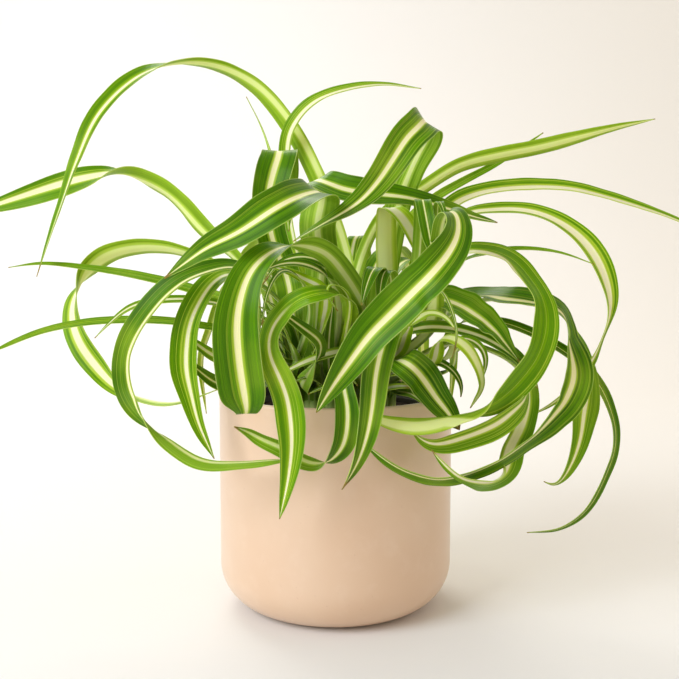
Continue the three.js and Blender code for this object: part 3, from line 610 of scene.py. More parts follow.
@dataclass
class Foliage:
    """All the leaves. Each replaces its solid with a thinner, smoother blade on the same route.

    A blade's stations lie a step apart, with so many faces across. Its groove is a share of half its width
    deep, and goes flat where it bends more sharply than a radius of fold_reach. The ripple of its edges is
    a sum of waves of three pitches. Its foot is sunk in the crown, and its stripe starts below the foot.
    """

    leaves: list[Leaf]
    young: list[Leaf]
    step: float = 2.8
    across: int = 12
    groove: float = 0.32
    groove_curve: float = 1.25
    thickness: float = 0.45
    tip: float = 0.25
    ripple: float = 0.1
    pitches: tuple[float, ...] = (19, 34, 61)
    sunk: float = 3.0
    fold_reach: float = 14.0
    stripe_start: float = -0.05
    seed: int = 1000
    young_seed: int = 5000
    finishes: dict[tuple[Tone, str], bpy.types.Material] = field(default_factory=dict)

    def make_finishes(self) -> None:
        """Makes the two sides' materials for each tone."""
        for tone in Tone:
            self.finishes[tone, "upper"] = UPPER_SIDES[tone].build(f"{tone.value}_upper")
            self.finishes[tone, "under"] = UNDER_SIDES[tone].build(f"{tone.value}_under")

    def blade(self, leaf: Leaf, chance: random.Random) -> bpy.types.Object:
        """Models one leaf.

        Args:
            leaf: The leaf's route and sizes.
            chance: The seeded draw that gives it its own ripple and stripe.

        Returns:
            The finished piece.
        """
        spine = leaf.spine(self.step)
        last = len(spine.share) - 1
        deselect()
        bpy.ops.mesh.primitive_grid_add(
            x_subdivisions=self.across, y_subdivisions=last, size=2, calc_uvs=True
        )
        piece = bpy.context.object
        piece.name = piece.data.name = leaf.name
        flat = points_of(piece.data)
        off, row = flat[:, 0], np.rint((flat[:, 1] + 1) / 2 * last).astype(int)
        share = spine.share[row]
        run = share * spine.length
        half = leaf.widths(spine.share, self.tip)[row] / 2
        wave = np.zeros_like(run)
        for pitch in self.pitches:
            phase, lag = chance.uniform(0, 6.3), chance.uniform(0, 1.6)
            wave += np.sin(run / pitch * 2 * math.pi + phase + np.sign(off) * lag)
        wave *= np.sin(math.pi * np.clip(share, 0, 1)) ** 0.5 * self.ripple
        deep = self.groove / (1 + (spine.bends()[row] * self.fold_reach) ** 2)
        rise = np.abs(off) ** self.groove_curve * half * deep + np.abs(off) ** 3 * wave
        points = spine.places[row] + spine.side[row] * (off * half)[:, None] + spine.up[row] * rise[:, None]
        points[row == 0, 2] -= self.sunk
        move_points(piece.data, points * MM)
        add_attribute(piece.data, "run", run * MM)
        add_attribute(piece.data, "to_tip", (spine.length - run) * MM)
        add_attribute(piece.data, "chance", chance.random())
        add_attribute(piece.data, "stripe", leaf.stripe * chance.uniform(0.95, 1.1))
        add_attribute(piece.data, "plain_until", leaf.plain_until + self.stripe_start)
        add_attribute(piece.data, "aside", leaf.stripe_offset(share) + chance.uniform(-0.04, 0.04))
        for side in ("upper", "under"):
            piece.data.materials.append(self.finishes[leaf.tone, side])
        shell = piece.modifiers.new("thickness", "SOLIDIFY")
        shell.thickness, shell.offset = self.thickness * MM, -1
        shell.material_offset, shell.material_offset_rim = 1, 1
        bpy.ops.object.modifier_apply(modifier=shell.name)
        smooth(60)
        return piece

    def build(self) -> None:
        """Makes every leaf and puts it in its solid's place."""
        self.make_finishes()
        for number, leaf in enumerate(self.leaves):
            piece = self.blade(leaf, random.Random(self.seed + number))
            settle(piece, leaf.tone.value, "leaf_" + leaf.name)
        small = [self.blade(leaf, random.Random(self.young_seed + k)) for k, leaf in enumerate(self.young)]
        piece = joined(small)
        piece.name = piece.data.name = "young_leaves"
        settle(piece, Tone.MIDDLE.value)


def joined(parts: list[bpy.types.Object]) -> bpy.types.Object:
    """Joins pieces into the first of them.

    Args:
        parts: The pieces.

    Returns:
        The first piece, now all of them.
    """
    deselect()
    for part in parts:
        part.select_set(True)
    bpy.context.view_layer.objects.active = parts[0]
    bpy.ops.object.join()
    return parts[0]


def settle(piece: bpy.types.Object, slot: str, *nodes: str) -> None:
    """Hangs a finished piece on the body, in place of its solids.

    Args:
        piece: The finished piece.
        slot: The record's material slot; not used.
        nodes: The solids that it stands for.
    """
    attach(piece, BODY)
    if nodes:
        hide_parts(*nodes)
    LOG.info("%s: %d faces", piece.name, len(piece.data.polygons))


# The leaves that stand for solids. Their order is the order of their seeds.
LEAVES = [
    Leaf("high_arch_left", Tone.MIDDLE, 12, (4.5, 15), [
        (9, 185, 23, "BBR"), (4.5, 209, 34, "BBR"), (-3, 232, 48, "BBR"), (-12.5, 256.5, 56, "BBR"),
        (-25.5, 281, 60, "BBR"), (-46, 305.5, 60, "BU"), (-69, 317.5, 56, "BUU"), (-90, 319.5, 49, "LUU"),
        (-113.5, 313.5, 38, "FU"), (-138.5, 291.5, 25, "FU"), (-152, 264, 14, "FFL"),
        (-160.5, 241, 6, "FL"), (-168.5, 219.5, 0, "FL"), (-177, 196, -6, "FLL"),
    ], stripe=0.2, aside=[(0.4, -0.5), (0.58, -0.2)], girth=[
        (0, 6), (0.2, 10.5), (0.33, 12), (0.46, 11.5), (0.58, 11.5), (0.71, 12), (0.84, 8.5), (0.97, 3),
        (1, 0),
    ]),
    Leaf("arch_left", Tone.MIDDLE, 16, (-25.5, 15), [
        (-35, 170, 15, "RU"), (-56.5, 204.5, 18, "BRU"), (-76.5, 222.5, 29, "BBU"), (-97, 244, 36, "BRU"),
        (-113.5, 253, 40, "BRU"), (-127.5, 256.5, 43, "U"), (-139.5, 254, 44, "FU"),
        (-161.5, 248.5, 46, "FFU"), (-185.5, 241.5, 47, "F"), (-204.5, 235.5, 48, "FFU"),
        (-221, 228, 50, "F"),
    ], stripe=0.2, aside=[(0, 0.22)], girth=[
        (0, 6), (0.2, 9.5), (0.41, 12), (0.49, 14.5), (0.57, 16.5), (0.66, 19), (0.74, 19.5),
        (0.82, 14.5), (0.9, 10), (1, 0),
    ]),
    Leaf("curl_left", Tone.MIDDLE, 13, (-24.5, 5.5), [
        (-37.5, 158.5, 1, "RU"), (-56.5, 194, 4, "RU"), (-89, 210, 8, "BU"), (-109.5, 213, 12, "BU"),
        (-128.5, 210.5, 14, "BU"), (-142, 203.5, 15, "BU"), (-152, 189.5, 12, "LUU"),
        (-156, 175, 8, "FL"), (-153, 159.5, 4, "FFL"), (-142.5, 143, -4, "F"), (-130, 130, -10, "FLL"),
        (-117, 123.5, -16, "D"), (-96, 120.5, -26, "D"), (-70, 128.5, -34, "D"),
    ], stripe=0.28, aside=[(0, 0.05)], girth=[
        (0, 4.5), (0.35, 9), (0.44, 13), (0.54, 15.5), (0.64, 16.5), (0.73, 14.5), (0.82, 12),
        (0.92, 7.5), (1, 0),
    ]),
    Leaf("thin_left_upper", Tone.MIDDLE, 4, (-18, 4.5), [
        (-30, 153.5, -6, "U"), (-56.5, 178.5, -12, "UF"), (-89, 189.5, -4, "FU"),
        (-115.5, 196.5, 0, "FFU"), (-151, 202, 3, "FFU"), (-174.5, 204, 5, "FFU"),
        (-193.5, 201.5, 6, "FFU"),
    ], plain_until=ALL_PLAIN, girth=[
        (0, 4), (0.35, 7), (0.5, 6.5), (0.65, 5), (0.8, 3.2), (0.92, 1.8), (1, 0),
    ]),
    Leaf("front_blade_left", Tone.DEEP, 20, (-12, -14.5), [
        (-10, 180, -36, "BU"), (-8, 203, -48, "BBU"), (-11, 226.5, -68, "BBU"), (-8, 241, -72, "BRU"),
        (-8, 245.5, -79, "RUU"), (-17.5, 244.5, -95, "FU"), (-32.5, 238, -108, "FFU"),
        (-56, 223, -106, "FFL"), (-77, 212.5, -99, "FFL"), (-89, 204, -96, "FL"),
        (-101.5, 195, -96, "FL"),
    ], stripe=0.115, girth=[
        (0, 12), (0.25, 17), (0.56, 20), (0.62, 21), (0.69, 21), (0.76, 19.5), (0.82, 15.5), (0.88, 12),
        (0.95, 7), (1, 0),
    ]),
    Leaf("big_loop_left", Tone.DEEP, 11, (-30, -6), [
        (-45.5, 160.5, -22, "RU"), (-49.5, 197, -56, "RRU"), (-59.5, 203, -57, "UF"),
        (-77, 200.5, -60, "UF"), (-95, 193, -62, "FU"), (-113, 175, -62, "FFLU"),
        (-126, 152.5, -60, "FFL"), (-127, 129.5, -62, "FU"), (-119.5, 115, -68, "FFL"),
        (-109.5, 104.5, -72, "LD"), (-98.5, 94, -76, "DB"), (-81.5, 83.5, -79, "BBD"),
        (-57.5, 83, -80, "BDD"), (-39.5, 84.5, -81, "BD"), (-22.5, 86.5, -82, "BD"),
    ], stripe=0.14, aside=[(0.3, -0.4), (0.45, -0.72), (0.68, -0.75), (0.76, 0.5), (1, 0.5)], girth=[
        (0, 4), (0.33, 8), (0.43, 11.5), (0.53, 12.5), (0.64, 10), (0.74, 8), (0.84, 7), (0.94, 4.5),
        (1, 0),
    ]),
    Leaf("hanging_left", Tone.MIDDLE, 15, (-16.5, -4.5), [
        (-27.5, 173.5, -21, "RU"), (-52, 195, -36, "RU"), (-65.5, 198, -46, "FUU"),
        (-73.5, 193, -50, "UF"), (-81.5, 182, -52, "FFL"), (-87.5, 169, -53, "FFL"),
        (-90, 155.5, -54, "F"), (-90.5, 140.5, -55, "F"), (-87, 124, -56, "F"), (-82.5, 107, -58, "F"),
        (-73, 86.5, -62, "F"),
    ], aside=[(0, -0.22)], girth=[
        (0, 6), (0.25, 9.5), (0.51, 12.5), (0.6, 14.5), (0.69, 15), (0.77, 14.5), (0.86, 9.5), (0.95, 5),
        (1, 0),
    ]),
    Leaf("thin_left_lower", Tone.MIDDLE, 4, (-23, 3), [
        (-33.5, 152.5, -8, "U"), (-51, 162.5, -12, "UF"), (-73.5, 166, -29, "FU"),
        (-95.5, 169.5, -32, "FFU"), (-125, 170.5, -28, "FFU"), (-152, 168.5, -24, "FFU"),
        (-175.5, 163.5, -20, "FFU"), (-200, 153.5, -16, "FFU"), (-209, 149, -15, "FFU"),
    ], plain_until=ALL_PLAIN, girth=[(0, 4), (0.3, 4.8), (0.75, 4.2), (0.92, 2.8), (1, 0)]),
    Leaf("small_curl_left", Tone.MIDDLE, 5, (-24, -4), [
        (-28.5, 159.5, -20, "U"), (-53.5, 175, -20, "UF"), (-80.5, 182, -34, "FU"),
        (-101, 182.5, -38, "FFU"), (-122, 178, -36, "FFU"), (-137, 166, -34, "FL"),
        (-143.5, 159.5, -33, "FL"),
    ], stripe=0.2, girth=[(0, 4), (0.3, 5.5), (0.6, 5.5), (0.85, 3.5), (1, 0)]),
    Leaf("inner_left_a", Tone.MIDDLE, 12, (-13.5, -10.5), [
        (-33, 146.5, -22, "U"), (-46, 144, -46, "FU"), (-71, 148, -45, "FFU"), (-82, 155.5, -43, "FFU"),
        (-95, 165.5, -42, "FFU"),
    ], stripe=0.22),
    Leaf("inner_left_b", Tone.DEEP, 13, (-22, -11.5), [
        (-28, 139, -17, "U"), (-48, 131.5, -26, "FU"), (-70, 132, -43, "FFU"), (-82, 140.5, -47, "FFU"),
        (-91.5, 149, -46, "FFU"),
    ], stripe=0.12),
    Leaf("top_band_right", Tone.DEEP, 15, (-9, -1.5), [
        (-2, 174, -19, "LBUU"), (-7, 204.5, -18, "BU"), (-10.5, 232, -26, "BBU"),
        (-13, 248.5, -36, "LBU"), (-13, 253, -43, "LUU"), (-6.5, 251.5, -49, "FU"),
        (5.5, 247, -52, "FFU"), (23.5, 244.5, -53, "FFU"), (44, 242, -52, "FU"),
        (67.5, 235.5, -51, "FFU"), (84, 230.5, -50, "FUU"), (95.5, 228, -48, "FU"),
    ], girth=[
        (0, 10), (0.25, 15), (0.61, 17.5), (0.68, 16.5), (0.76, 14), (0.83, 11), (0.91, 8), (0.98, 3.5),
        (1, 0),
    ]),
    Leaf("big_front_left", Tone.DEEP, 23, (0, -3), [
        (17.5, 168.5, -35, "BU"), (15.5, 180.5, -59, "BU"), (5.5, 197, -70, "BBU"), (-6, 210, -80, "BBU"),
        (-18, 214, -87, "BU"), (-28, 214.5, -94, "U"), (-40, 209.5, -100, "UF"),
        (-50.5, 199, -104, "FFU"), (-56.5, 184, -107, "F"), (-59, 167.5, -108, "F"),
        (-58, 146.5, -106, "F"), (-55.5, 128.5, -104, "F"), (-53.5, 117, -101, "FD"),
        (-54, 112.5, -95, "D"), (-56.5, 119, -90, "B"), (-57, 131.5, -88, "B"), (-56.5, 143.5, -87, "B"),
        (-55, 153.5, -86, "B"),
    ], girth=[
        (0, 9), (0.32, 11.5), (0.45, 12.5), (0.57, 14.5), (0.62, 16.5), (0.67, 20), (0.72, 23),
        (0.8, 23.5), (0.83, 23.5), (0.842, 21.5), (0.851, 17.5), (0.858, 12), (0.865, 8), (0.875, 8),
        (0.92, 8), (1, 3),
    ]),
    Leaf("crossing_blade", Tone.DEEP, 18, (20.5, 19), [
        (25.5, 168, 16, "BU"), (29, 188, 11, "BBU"), (33.5, 217.5, 7, "BBU"), (38, 241, 0, "BBU"),
        (43.5, 256, -12, "BR"), (49.5, 269, -24, "BR"), (54.5, 279.5, -38, "BRU"),
        (53.5, 285.5, -48, "RU"), (52, 287, -56, "UR"), (49, 283.5, -63, "FUR"),
        (42.5, 277.5, -67, "FFU"), (33.5, 264, -70, "F"), (25, 251.5, -73, "F"), (15.5, 241, -76, "FU"),
        (5.5, 234, -79, "FU"), (-9, 226, -78, "FUU"), (-25, 217, -74, "FUU"),
    ], girth=[
        (0, 9), (0.25, 13), (0.5, 15), (0.63, 18), (0.69, 18.5), (0.75, 17.5), (0.8, 15), (0.86, 11.5),
        (0.92, 8.5), (0.98, 3.5), (1, 0),
    ]),
    Leaf("upright_fold", Tone.DEEP, 21, (-13.5, 13), [
        (-25, 171.5, -7, "F"), (-28, 194, 11, "F"), (-37.5, 220.5, 7, "F"), (-39.5, 241, 5, "F"),
        (-36, 257.5, 8, "F"), (-33, 266.5, 12, "FU"), (-32.5, 270, 18, "U"), (-32, 268.5, 25, "BU"),
        (-30.5, 259.5, 30, "B"), (-29.5, 247, 34, "B"), (-28.5, 235, 36, "B"), (-27.5, 222.5, 37, "B"),
    ], girth=[(0, 9.5), (0.25, 15), (0.6, 19), (0.68, 21.5), (0.75, 21.5), (0.85, 18), (1, 0)]),
    Leaf("thin_spike", Tone.LIGHT, 3, (-8, 15), [
        (-18, 181, 28, "F"), (-31.5, 194.5, 44, "F"), (-32, 228, 58, "F"), (-36.5, 261.5, 57, "F"),
        (-43, 282.5, 70, "FL"), (-52, 300.5, 61, "FL"),
    ]),
    Leaf("top_thin_right", Tone.MIDDLE, 7.5, (-18.5, 22.5), [
        (-18, 158.5, 50, "F"), (-20, 194, 38, "FL"), (-27, 226.5, 58, "FL"), (-29, 252.5, 56, "FL"),
        (-28.5, 277.5, 51, "FFL"), (-23.5, 288, 48, "FL"), (-13.5, 298, 46, "FU"), (2.5, 304.5, 44, "UF"),
        (26, 308, 43, "UF"), (50, 305.5, 42, "UF"),
    ], stripe=0.34, aside=[(0, 0.42)], girth=[
        (0, 5), (0.25, 7.5), (0.66, 9), (0.76, 8.5), (0.86, 6), (1, 0),
    ]),
    Leaf("pale_riser", Tone.LIGHT, 12.5, (4, 4), [
        (15, 169, 8, "B"), (29, 188, 2, "B"), (30, 217.5, -11, "B"), (30, 231.5, -20, "BU"),
        (30.5, 237, -27, "U"), (35.5, 235.5, -33, "FU"), (42, 228.5, -36, "FU"), (48.5, 216.5, -35, "F"),
        (54.5, 203.5, -28, "F"), (59.5, 189.5, -30, "F"),
    ], stripe=0.42, aside=[(0, 0.22)], girth=[
        (0, 6), (0.2, 11), (0.45, 12.5), (0.6, 11.5), (0.75, 10.5), (0.88, 8), (1, 0),
    ]),
    Leaf("centre_right_hang", Tone.DEEP, 9, (9.5, -3), [
        (34.5, 166, -30, "B"), (47, 188, -56, "B"), (50, 214.5, -52, "B"), (51, 236.5, -59, "BU"),
        (51, 242.5, -66, "U"), (52, 238, -72, "FU"), (54, 228, -76, "F"), (57.5, 209.5, -79, "F"),
    ], stripe=0.08, girth=[(0, 4.5), (0.4, 6), (0.6, 8), (0.8, 8.5), (0.92, 8.5), (0.97, 7.5), (1, 2)]),
    Leaf("big_front_right", Tone.DEEP, 22, (25, -6), [
        (66, 174.5, -29, "BL"), (62.5, 194, -45, "BL"), (61.5, 217.5, -75, "BLU"),
        (63.5, 229.5, -88, "LU"), (67, 235, -97, "UUF"), (71.5, 232, -104, "FUR"), (72, 221, -110, "FFR"),
        (66, 209, -116, "FFU"), (56, 197, -122, "FFU"), (44, 185, -118, "FFU"),
        (32.5, 173.5, -118, "FFU"), (20.5, 161.5, -119, "FFU"), (10, 147.5, -119, "F"),
        (1.5, 135.5, -118, "DFF"), (-5, 125.5, -116, "FR"), (-11.5, 114.5, -113, "F"),
    ], girth=[
        (0, 6), (0.25, 9), (0.5, 11), (0.58, 13.5), (0.64, 16.5), (0.69, 19.5), (0.74, 21), (0.79, 21),
        (0.84, 18.5), (0.89, 15.5), (0.93, 12), (0.965, 7.5), (1, 0),
    ]),
    Leaf("long_upper_right", Tone.MIDDLE, 10.5, (10, 13), [
        (10, 182, 15, "BR"), (17, 211.5, 23, "BU"), (29, 233, 29, "BBU"), (51, 247.5, 34, "BBU"),
        (73, 261, 38, "BBU"), (96.5, 267, 42, "BBU"), (119.5, 271.5, 46, "BBU"), (143, 277.5, 50, "BBU"),
        (166, 283.5, 53, "BU"), (186.5, 288, 56, "BBU"),
    ], stripe=0.22, girth=[(0, 4.5), (0.25, 7), (0.52, 9), (0.65, 10.5), (0.79, 10), (0.92, 5), (1, 0)]),
    Leaf("thin_upper_right", Tone.MIDDLE, 6.5, (22, 24.5), [
        (14, 180.5, 55, "B"), (35, 220.5, 76, "B"), (57, 241.5, 60, "FB"), (73, 251, 56, "F"),
        (96.5, 263.5, 60, "F"), (121.5, 280, 64, "F"),
    ], plain_until=ALL_PLAIN, girth=[(0, 4), (0.4, 6), (0.6, 6), (0.8, 4.5), (0.92, 2.5), (1, 0)]),
    Leaf("arch_right", Tone.MIDDLE, 9, (25.5, 18), [
        (40, 177, 20, "LUU"), (50, 209, 8, "UF"), (67.5, 238.5, 10, "UF"), (79, 244.5, 12, "UF"),
        (91, 247.5, 14, "FU"), (114, 249.5, 16, "FU"), (137.5, 248.5, 17, "FU"), (155.5, 244.5, 18, "UF"),
        (191, 233.5, 20, "UF"), (215, 224, 22, "UF"),
    ], stripe=0.38, aside=[(0, 0.44)], girth=[
        (0, 5.5), (0.2, 8.5), (0.49, 10.5), (0.64, 10), (0.8, 7.5), (0.95, 3.5), (1, 0),
    ]),
    Leaf("big_arch_right", Tone.MIDDLE, 12.5, (12.5, 6), [
        (34.5, 180.5, 4, "U"), (59, 211.5, -10, "U"), (76.5, 233, -12, "UF"), (91, 235.5, -14, "UF"),
        (105.5, 236, -17, "UF"), (120.5, 233.5, -20, "UF"), (138, 225, -24, "FU"),
        (151.5, 212.5, -27, "FFU"), (159.5, 198, -29, "FFR"), (163.5, 182, -31, "FFR"),
        (162.5, 170.5, -33, "FR"), (159, 160, -36, "R"), (154, 147.5, -41, "RF"), (145, 134.5, -46, "FR"),
        (131.5, 121, -47, "FR"), (116.5, 112.5, -49, "FD"),
    ], stripe=0.34, aside=[(0, 0.2)], girth=[
        (0, 4), (0.2, 6.5), (0.45, 8), (0.53, 10), (0.61, 12), (0.68, 12.5), (0.73, 11), (0.77, 6),
        (0.8, 2.5), (0.845, 6.5), (0.9, 5), (0.95, 3), (1, 0),
    ]),
    Leaf("small_thin_right", Tone.MIDDLE, 5.5, (20.5, 7.5), [
        (34.5, 171, 13, "U"), (70.5, 203, -12, "UF"), (91.5, 210.5, -32, "FU"), (109, 213, -37, "FFU"),
        (132.5, 210.5, -37, "FFU"), (153, 203.5, -36, "FFU"),
    ], fullness=2, plain_until=ALL_PLAIN),
    Leaf("big_curl_right", Tone.MIDDLE, 15, (19, -15), [
        (57, 164.5, -50, "U"), (62, 204.5, -75, "LUU"), (72.5, 211.5, -85, "FUU"), (91, 211.5, -82, "FU"),
        (106, 205, -73, "FFU"), (116, 193.5, -71, "FR"), (122, 184.5, -72, "FRU"), (125, 170.5, -72, "F"),
        (123.5, 158.5, -73, "DF"), (119.5, 147.5, -74, "FFR"), (112.5, 137.5, -75, "FFR"),
        (104.5, 128.5, -77, "DFF"), (94.5, 120.5, -80, "FRR"), (83.5, 115, -84, "DDL"),
        (71.5, 112.5, -88, "DDR"), (62.5, 109.5, -91, "BDD"), (50.5, 107, -94, "BD"),
        (38.5, 108, -96, "BD"), (29.5, 109.5, -97, "BD"), (16, 115.5, -98, "BD"),
    ], stripe=0.34, aside=[(0.44, 0.62), (0.56, 1.7), (0.82, 1.7), (0.87, 0.2)], girth=[
        (0, 6.5), (0.2, 8.5), (0.45, 10), (0.53, 11), (0.61, 14), (0.7, 16.5), (0.78, 16), (0.86, 13.5),
        (0.94, 10), (0.98, 5), (1, 0),
    ]),
    Leaf("far_curl_right", Tone.DEEP, 17, (21.5, 3), [
        (42.5, 160, 5, "LUU"), (62, 182, -10, "U"), (85.5, 185, -22, "FU"), (100.5, 184.5, -43, "FU"),
        (118.5, 181.5, -50, "FUU"), (133.5, 177.5, -53, "FUU"), (138, 169, -53, "R"),
        (139, 158.5, -52, "FRR"), (142, 150.5, -52, "FR"), (145.5, 137.5, -53, "F"),
        (141, 122.5, -56, "F"), (133.5, 113, -61, "FFD"), (123, 102.5, -64, "FD"),
        (111.5, 93.5, -69, "FD"), (102, 86.5, -72, "FD"), (88, 79.5, -76, "DF"), (75, 75, -79, "DFL"),
        (63, 73, -80, "DF"), (51, 75, -83, "DF"), (39, 79.5, -84, "DF"), (28, 86.5, -85, "DF"),
        (16, 97, -87, "DF"),
    ], stripe=0.21, aside=[(0, 0.36)], girth=[
        (0, 8), (0.25, 12.5), (0.37, 15.5), (0.49, 16), (0.57, 16.5), (0.63, 15), (0.68, 12.5),
        (0.73, 10.5), (0.8, 10), (0.87, 8), (0.96, 4.5), (1, 0),
    ]),
    Leaf("short_hang_right", Tone.MIDDLE, 16, (31.5, 10), [
        (56.5, 164, 3, "U"), (85.5, 181, -10, "U"), (115.5, 179, -30, "U"), (133.5, 174.5, -34, "U"),
        (142, 161.5, -34, "R"), (147.5, 146.5, -33, "RF"), (151, 131.5, -34, "FR"), (149, 115, -36, "F"),
        (147, 98, -38, "F"), (141, 81, -40, "FFR"), (133, 70, -42, "DFR"), (125.5, 72.5, -44, "DDF"),
    ], girth=[
        (0, 8), (0.25, 12.5), (0.73, 15), (0.78, 16), (0.83, 11.5), (0.88, 9), (0.93, 6.5), (1, 0),
    ]),
    Leaf("long_thin_right", Tone.DEEP, 6, (28.5, 3), [
        (61.5, 150, -20, "U"), (74, 169, -39, "U"), (98, 169, -39, "UF"), (115.5, 163, -36, "UF"),
        (135.5, 152, -32, "UF"), (153, 137.5, -26, "FU"), (163, 121, -24, "FR"), (168.5, 98, -25, "FR"),
        (160.5, 70.5, -28, "FR"), (151, 54, -31, "FD"), (136, 43.5, -34, "FD"), (116, 41, -38, "FD"),
    ], stripe=0.04, girth=[(0, 4), (0.25, 6), (0.55, 8), (0.75, 7), (0.9, 4.5), (1, 0)]),
    Leaf("lower_right_hang", Tone.MIDDLE, 14, (33, 3.5), [
        (67, 147, -21, "U"), (80, 161.5, -38, "U"), (104, 153.5, -46, "U"), (113.5, 137.5, -50, "FR"),
        (116, 123.5, -56, "F"), (115, 113, -62, "F"), (111.5, 102.5, -62, "F"), (106, 92, -61, "FFR"),
        (103.5, 79, -64, "FFD"), (95.5, 72.5, -72, "FD"), (85, 72, -83, "FD"), (75, 74.5, -89, "FD"),
        (66, 82, -92, "FD"), (57.5, 92, -94, "FDL"),
    ], stripe=0.36, aside=[(0, 0.34)], girth=[
        (0, 5), (0.25, 8.5), (0.6, 11), (0.68, 13), (0.76, 15), (0.82, 13.5), (0.86, 8), (0.9, 4.5),
        (0.96, 3.5), (1, 0),
    ]),
    Leaf("lower_right_band", Tone.MIDDLE, 10, (32, -7.5), [
        (60, 153, -40, "U"), (77, 155.5, -52, "U"), (104, 145, -61, "U"), (114.5, 131.5, -66, "R"),
        (114, 122.5, -70, "R"), (107.5, 115, -74, "FR"), (98.5, 107, -77, "F"), (86.5, 101.5, -79, "FFD"),
        (75, 97.5, -82, "F"), (63, 94.5, -85, "F"), (54, 96, -88, "FFD"), (43.5, 106, -90, "L"),
    ], stripe=0.2, aside=[(0, 0.2)], girth=[
        (0, 7), (0.25, 10), (0.6, 12), (0.76, 12.5), (0.87, 10), (0.95, 5), (1, 0),
    ]),
    Leaf("short_broad_right", Tone.DEEP, 15, (12, -24.5), [
        (35, 144, -52, "LUU"), (38, 146.5, -74, "FU"), (45, 143.5, -84, "F"), (53.5, 134, -77, "FFU"),
        (60.5, 123.5, -75, "F"), (67.5, 115, -76, "F"), (74.5, 104, -71, "F"),
    ], girth=[(0, 2), (0.25, 7), (0.48, 13), (0.6, 17.5), (0.74, 18.5), (0.88, 13), (0.96, 6.5), (1, 0)]),
    Leaf("dark_arch_right", Tone.DEEP, 9, (5.5, -3.5), [
        (32, 157, -42, "U"), (47.5, 165, -57, "UF"), (62, 166, -58, "UF"), (77, 163.5, -56, "UF"),
        (89, 159.5, -57, "UF"), (101, 152.5, -60, "FU"), (110, 145, -62, "FU"), (121, 129.5, -65, "FR"),
    ], fullness=5, stripe=0.25),
    Leaf("wide_dark_right", Tone.DEEP, 13, (20, -6.5), [
        (39.5, 176, -14, "BUU"), (47, 182.5, -40, "U"), (62, 183.5, -49, "UF"), (71.5, 181, -50, "UF"),
        (83, 174.5, -57, "FU"), (93, 166.5, -58, "FU"), (101, 157, -65, "FR"), (110, 145, -67, "FR"),
    ], aside=[(0, 0.12)], girth=[
        (0, 6), (0.25, 11), (0.5, 16), (0.62, 19), (0.74, 19.5), (0.84, 15.5), (0.93, 8.5), (1, 0),
    ]),
    Leaf("thin_front_hang", Tone.MIDDLE, 3.5, (0.5, -22.5), [
        (40.5, 165.5, -75, "B"), (56, 182, -77, "BU"), (61.5, 190, -82, "U"), (65.5, 184.5, -83, "FU"),
        (70, 173.5, -83, "F"), (72.5, 161.5, -84, "F"), (69.5, 147.5, -86, "F"),
    ]),
    Leaf("pale_arch_right", Tone.LIGHT, 9, (25, -23), [
        (58, 144, -62, "D"), (62, 159.5, -69, "D"), (71, 159.5, -72, "DB"), (80, 152.5, -75, "BD"),
        (86, 140.5, -77, "BL"), (87.5, 129.5, -71, "BL"), (80.5, 117.5, -72, "BU"),
    ], fullness=5, stripe=0.3),
    Leaf("lime_small_right", Tone.MIDDLE, 7, (28, -17), [
        (69, 140.5, -56, "LUU"), (73, 159.5, -66, "LFUU"), (81.5, 158.5, -64, "UF"),
        (88.5, 152.5, -65, "FU"), (90, 143.5, -65, "F"), (86.5, 133, -65, "F"),
    ], fullness=4, stripe=0.2),
    Leaf("pale_short_right", Tone.LIGHT, 8.5, (11, -14.5), [
        (36, 149.5, -42, "D"), (44.5, 167.5, -71, "D"), (56, 175, -64, "DB"), (66.5, 171.5, -69, "BD"),
        (71, 164.5, -72, "BD"),
    ], fullness=5, stripe=0.3),
    Leaf("lime_front_hang", Tone.MIDDLE, 15.5, (-5, -23), [
        (7, 164.5, -39, "BBU"), (8.5, 169, -63, "BU"), (8, 180, -75, "RBU"), (1.5, 185.5, -83, "UF"),
        (-9, 186.5, -99, "UF"), (-21, 183, -101, "FU"), (-31.5, 174, -98, "FU"), (-39, 161.5, -99, "FL"),
        (-39, 149.5, -101, "FLU"), (-33, 135.5, -102, "F"), (-28.5, 122.5, -100, "F"),
        (-26, 98, -101, "F"), (-28, 76.5, -98, "F"), (-31, 61.5, -95, "FL"), (-34, 49.5, -91, "F"),
    ], stripe=0.13, plain_until=0.66, girth=[
        (0, 4), (0.2, 7), (0.36, 9), (0.46, 11), (0.54, 12), (0.62, 12), (0.7, 14), (0.79, 15),
        (0.87, 10.5), (0.95, 5.5), (1, 0),
    ]),
    Leaf("front_centre_hang", Tone.DEEP, 15, (0, -30.5), [
        (23.5, 155, -69, "B"), (36, 166.5, -92, "BU"), (35, 175, -96, "U"), (32, 169, -103, "FU"),
        (29, 159.5, -107, "F"), (25.5, 146.5, -106, "F"), (23.5, 134.5, -107, "F"),
        (22, 119.5, -106, "F"), (19.5, 104, -105, "F"), (14, 86, -104, "FFR"), (4, 67.5, -100, "FRR"),
    ], girth=[
        (0, 6.5), (0.2, 10.5), (0.38, 13), (0.5, 14.5), (0.61, 14.5), (0.73, 13), (0.84, 10), (0.96, 4.5),
        (1, 0),
    ]),
    Leaf("front_short_tail", Tone.DEEP, 14, (16.5, -30), [
        (16, 131.5, -42, "BBU"), (10, 147.5, -68, "BU"), (6.5, 150, -74, "U"), (4, 143, -79, "FU"),
        (4.5, 131.5, -85, "FFL"), (7, 119.5, -89, "F"), (7, 107, -91, "F"), (5, 96, -90, "F"),
        (0.5, 88.5, -89, "FR"), (-6.5, 83.5, -89, "DRR"), (-15.5, 83.5, -89, "BDL"),
        (-24.5, 88.5, -92, "DB"), (-34.5, 94, -93, "DB"), (-44, 98, -92, "BDD"),
        (-52.5, 102.5, -91, "BDD"), (-61, 106, -96, "DB"),
    ], girth=[
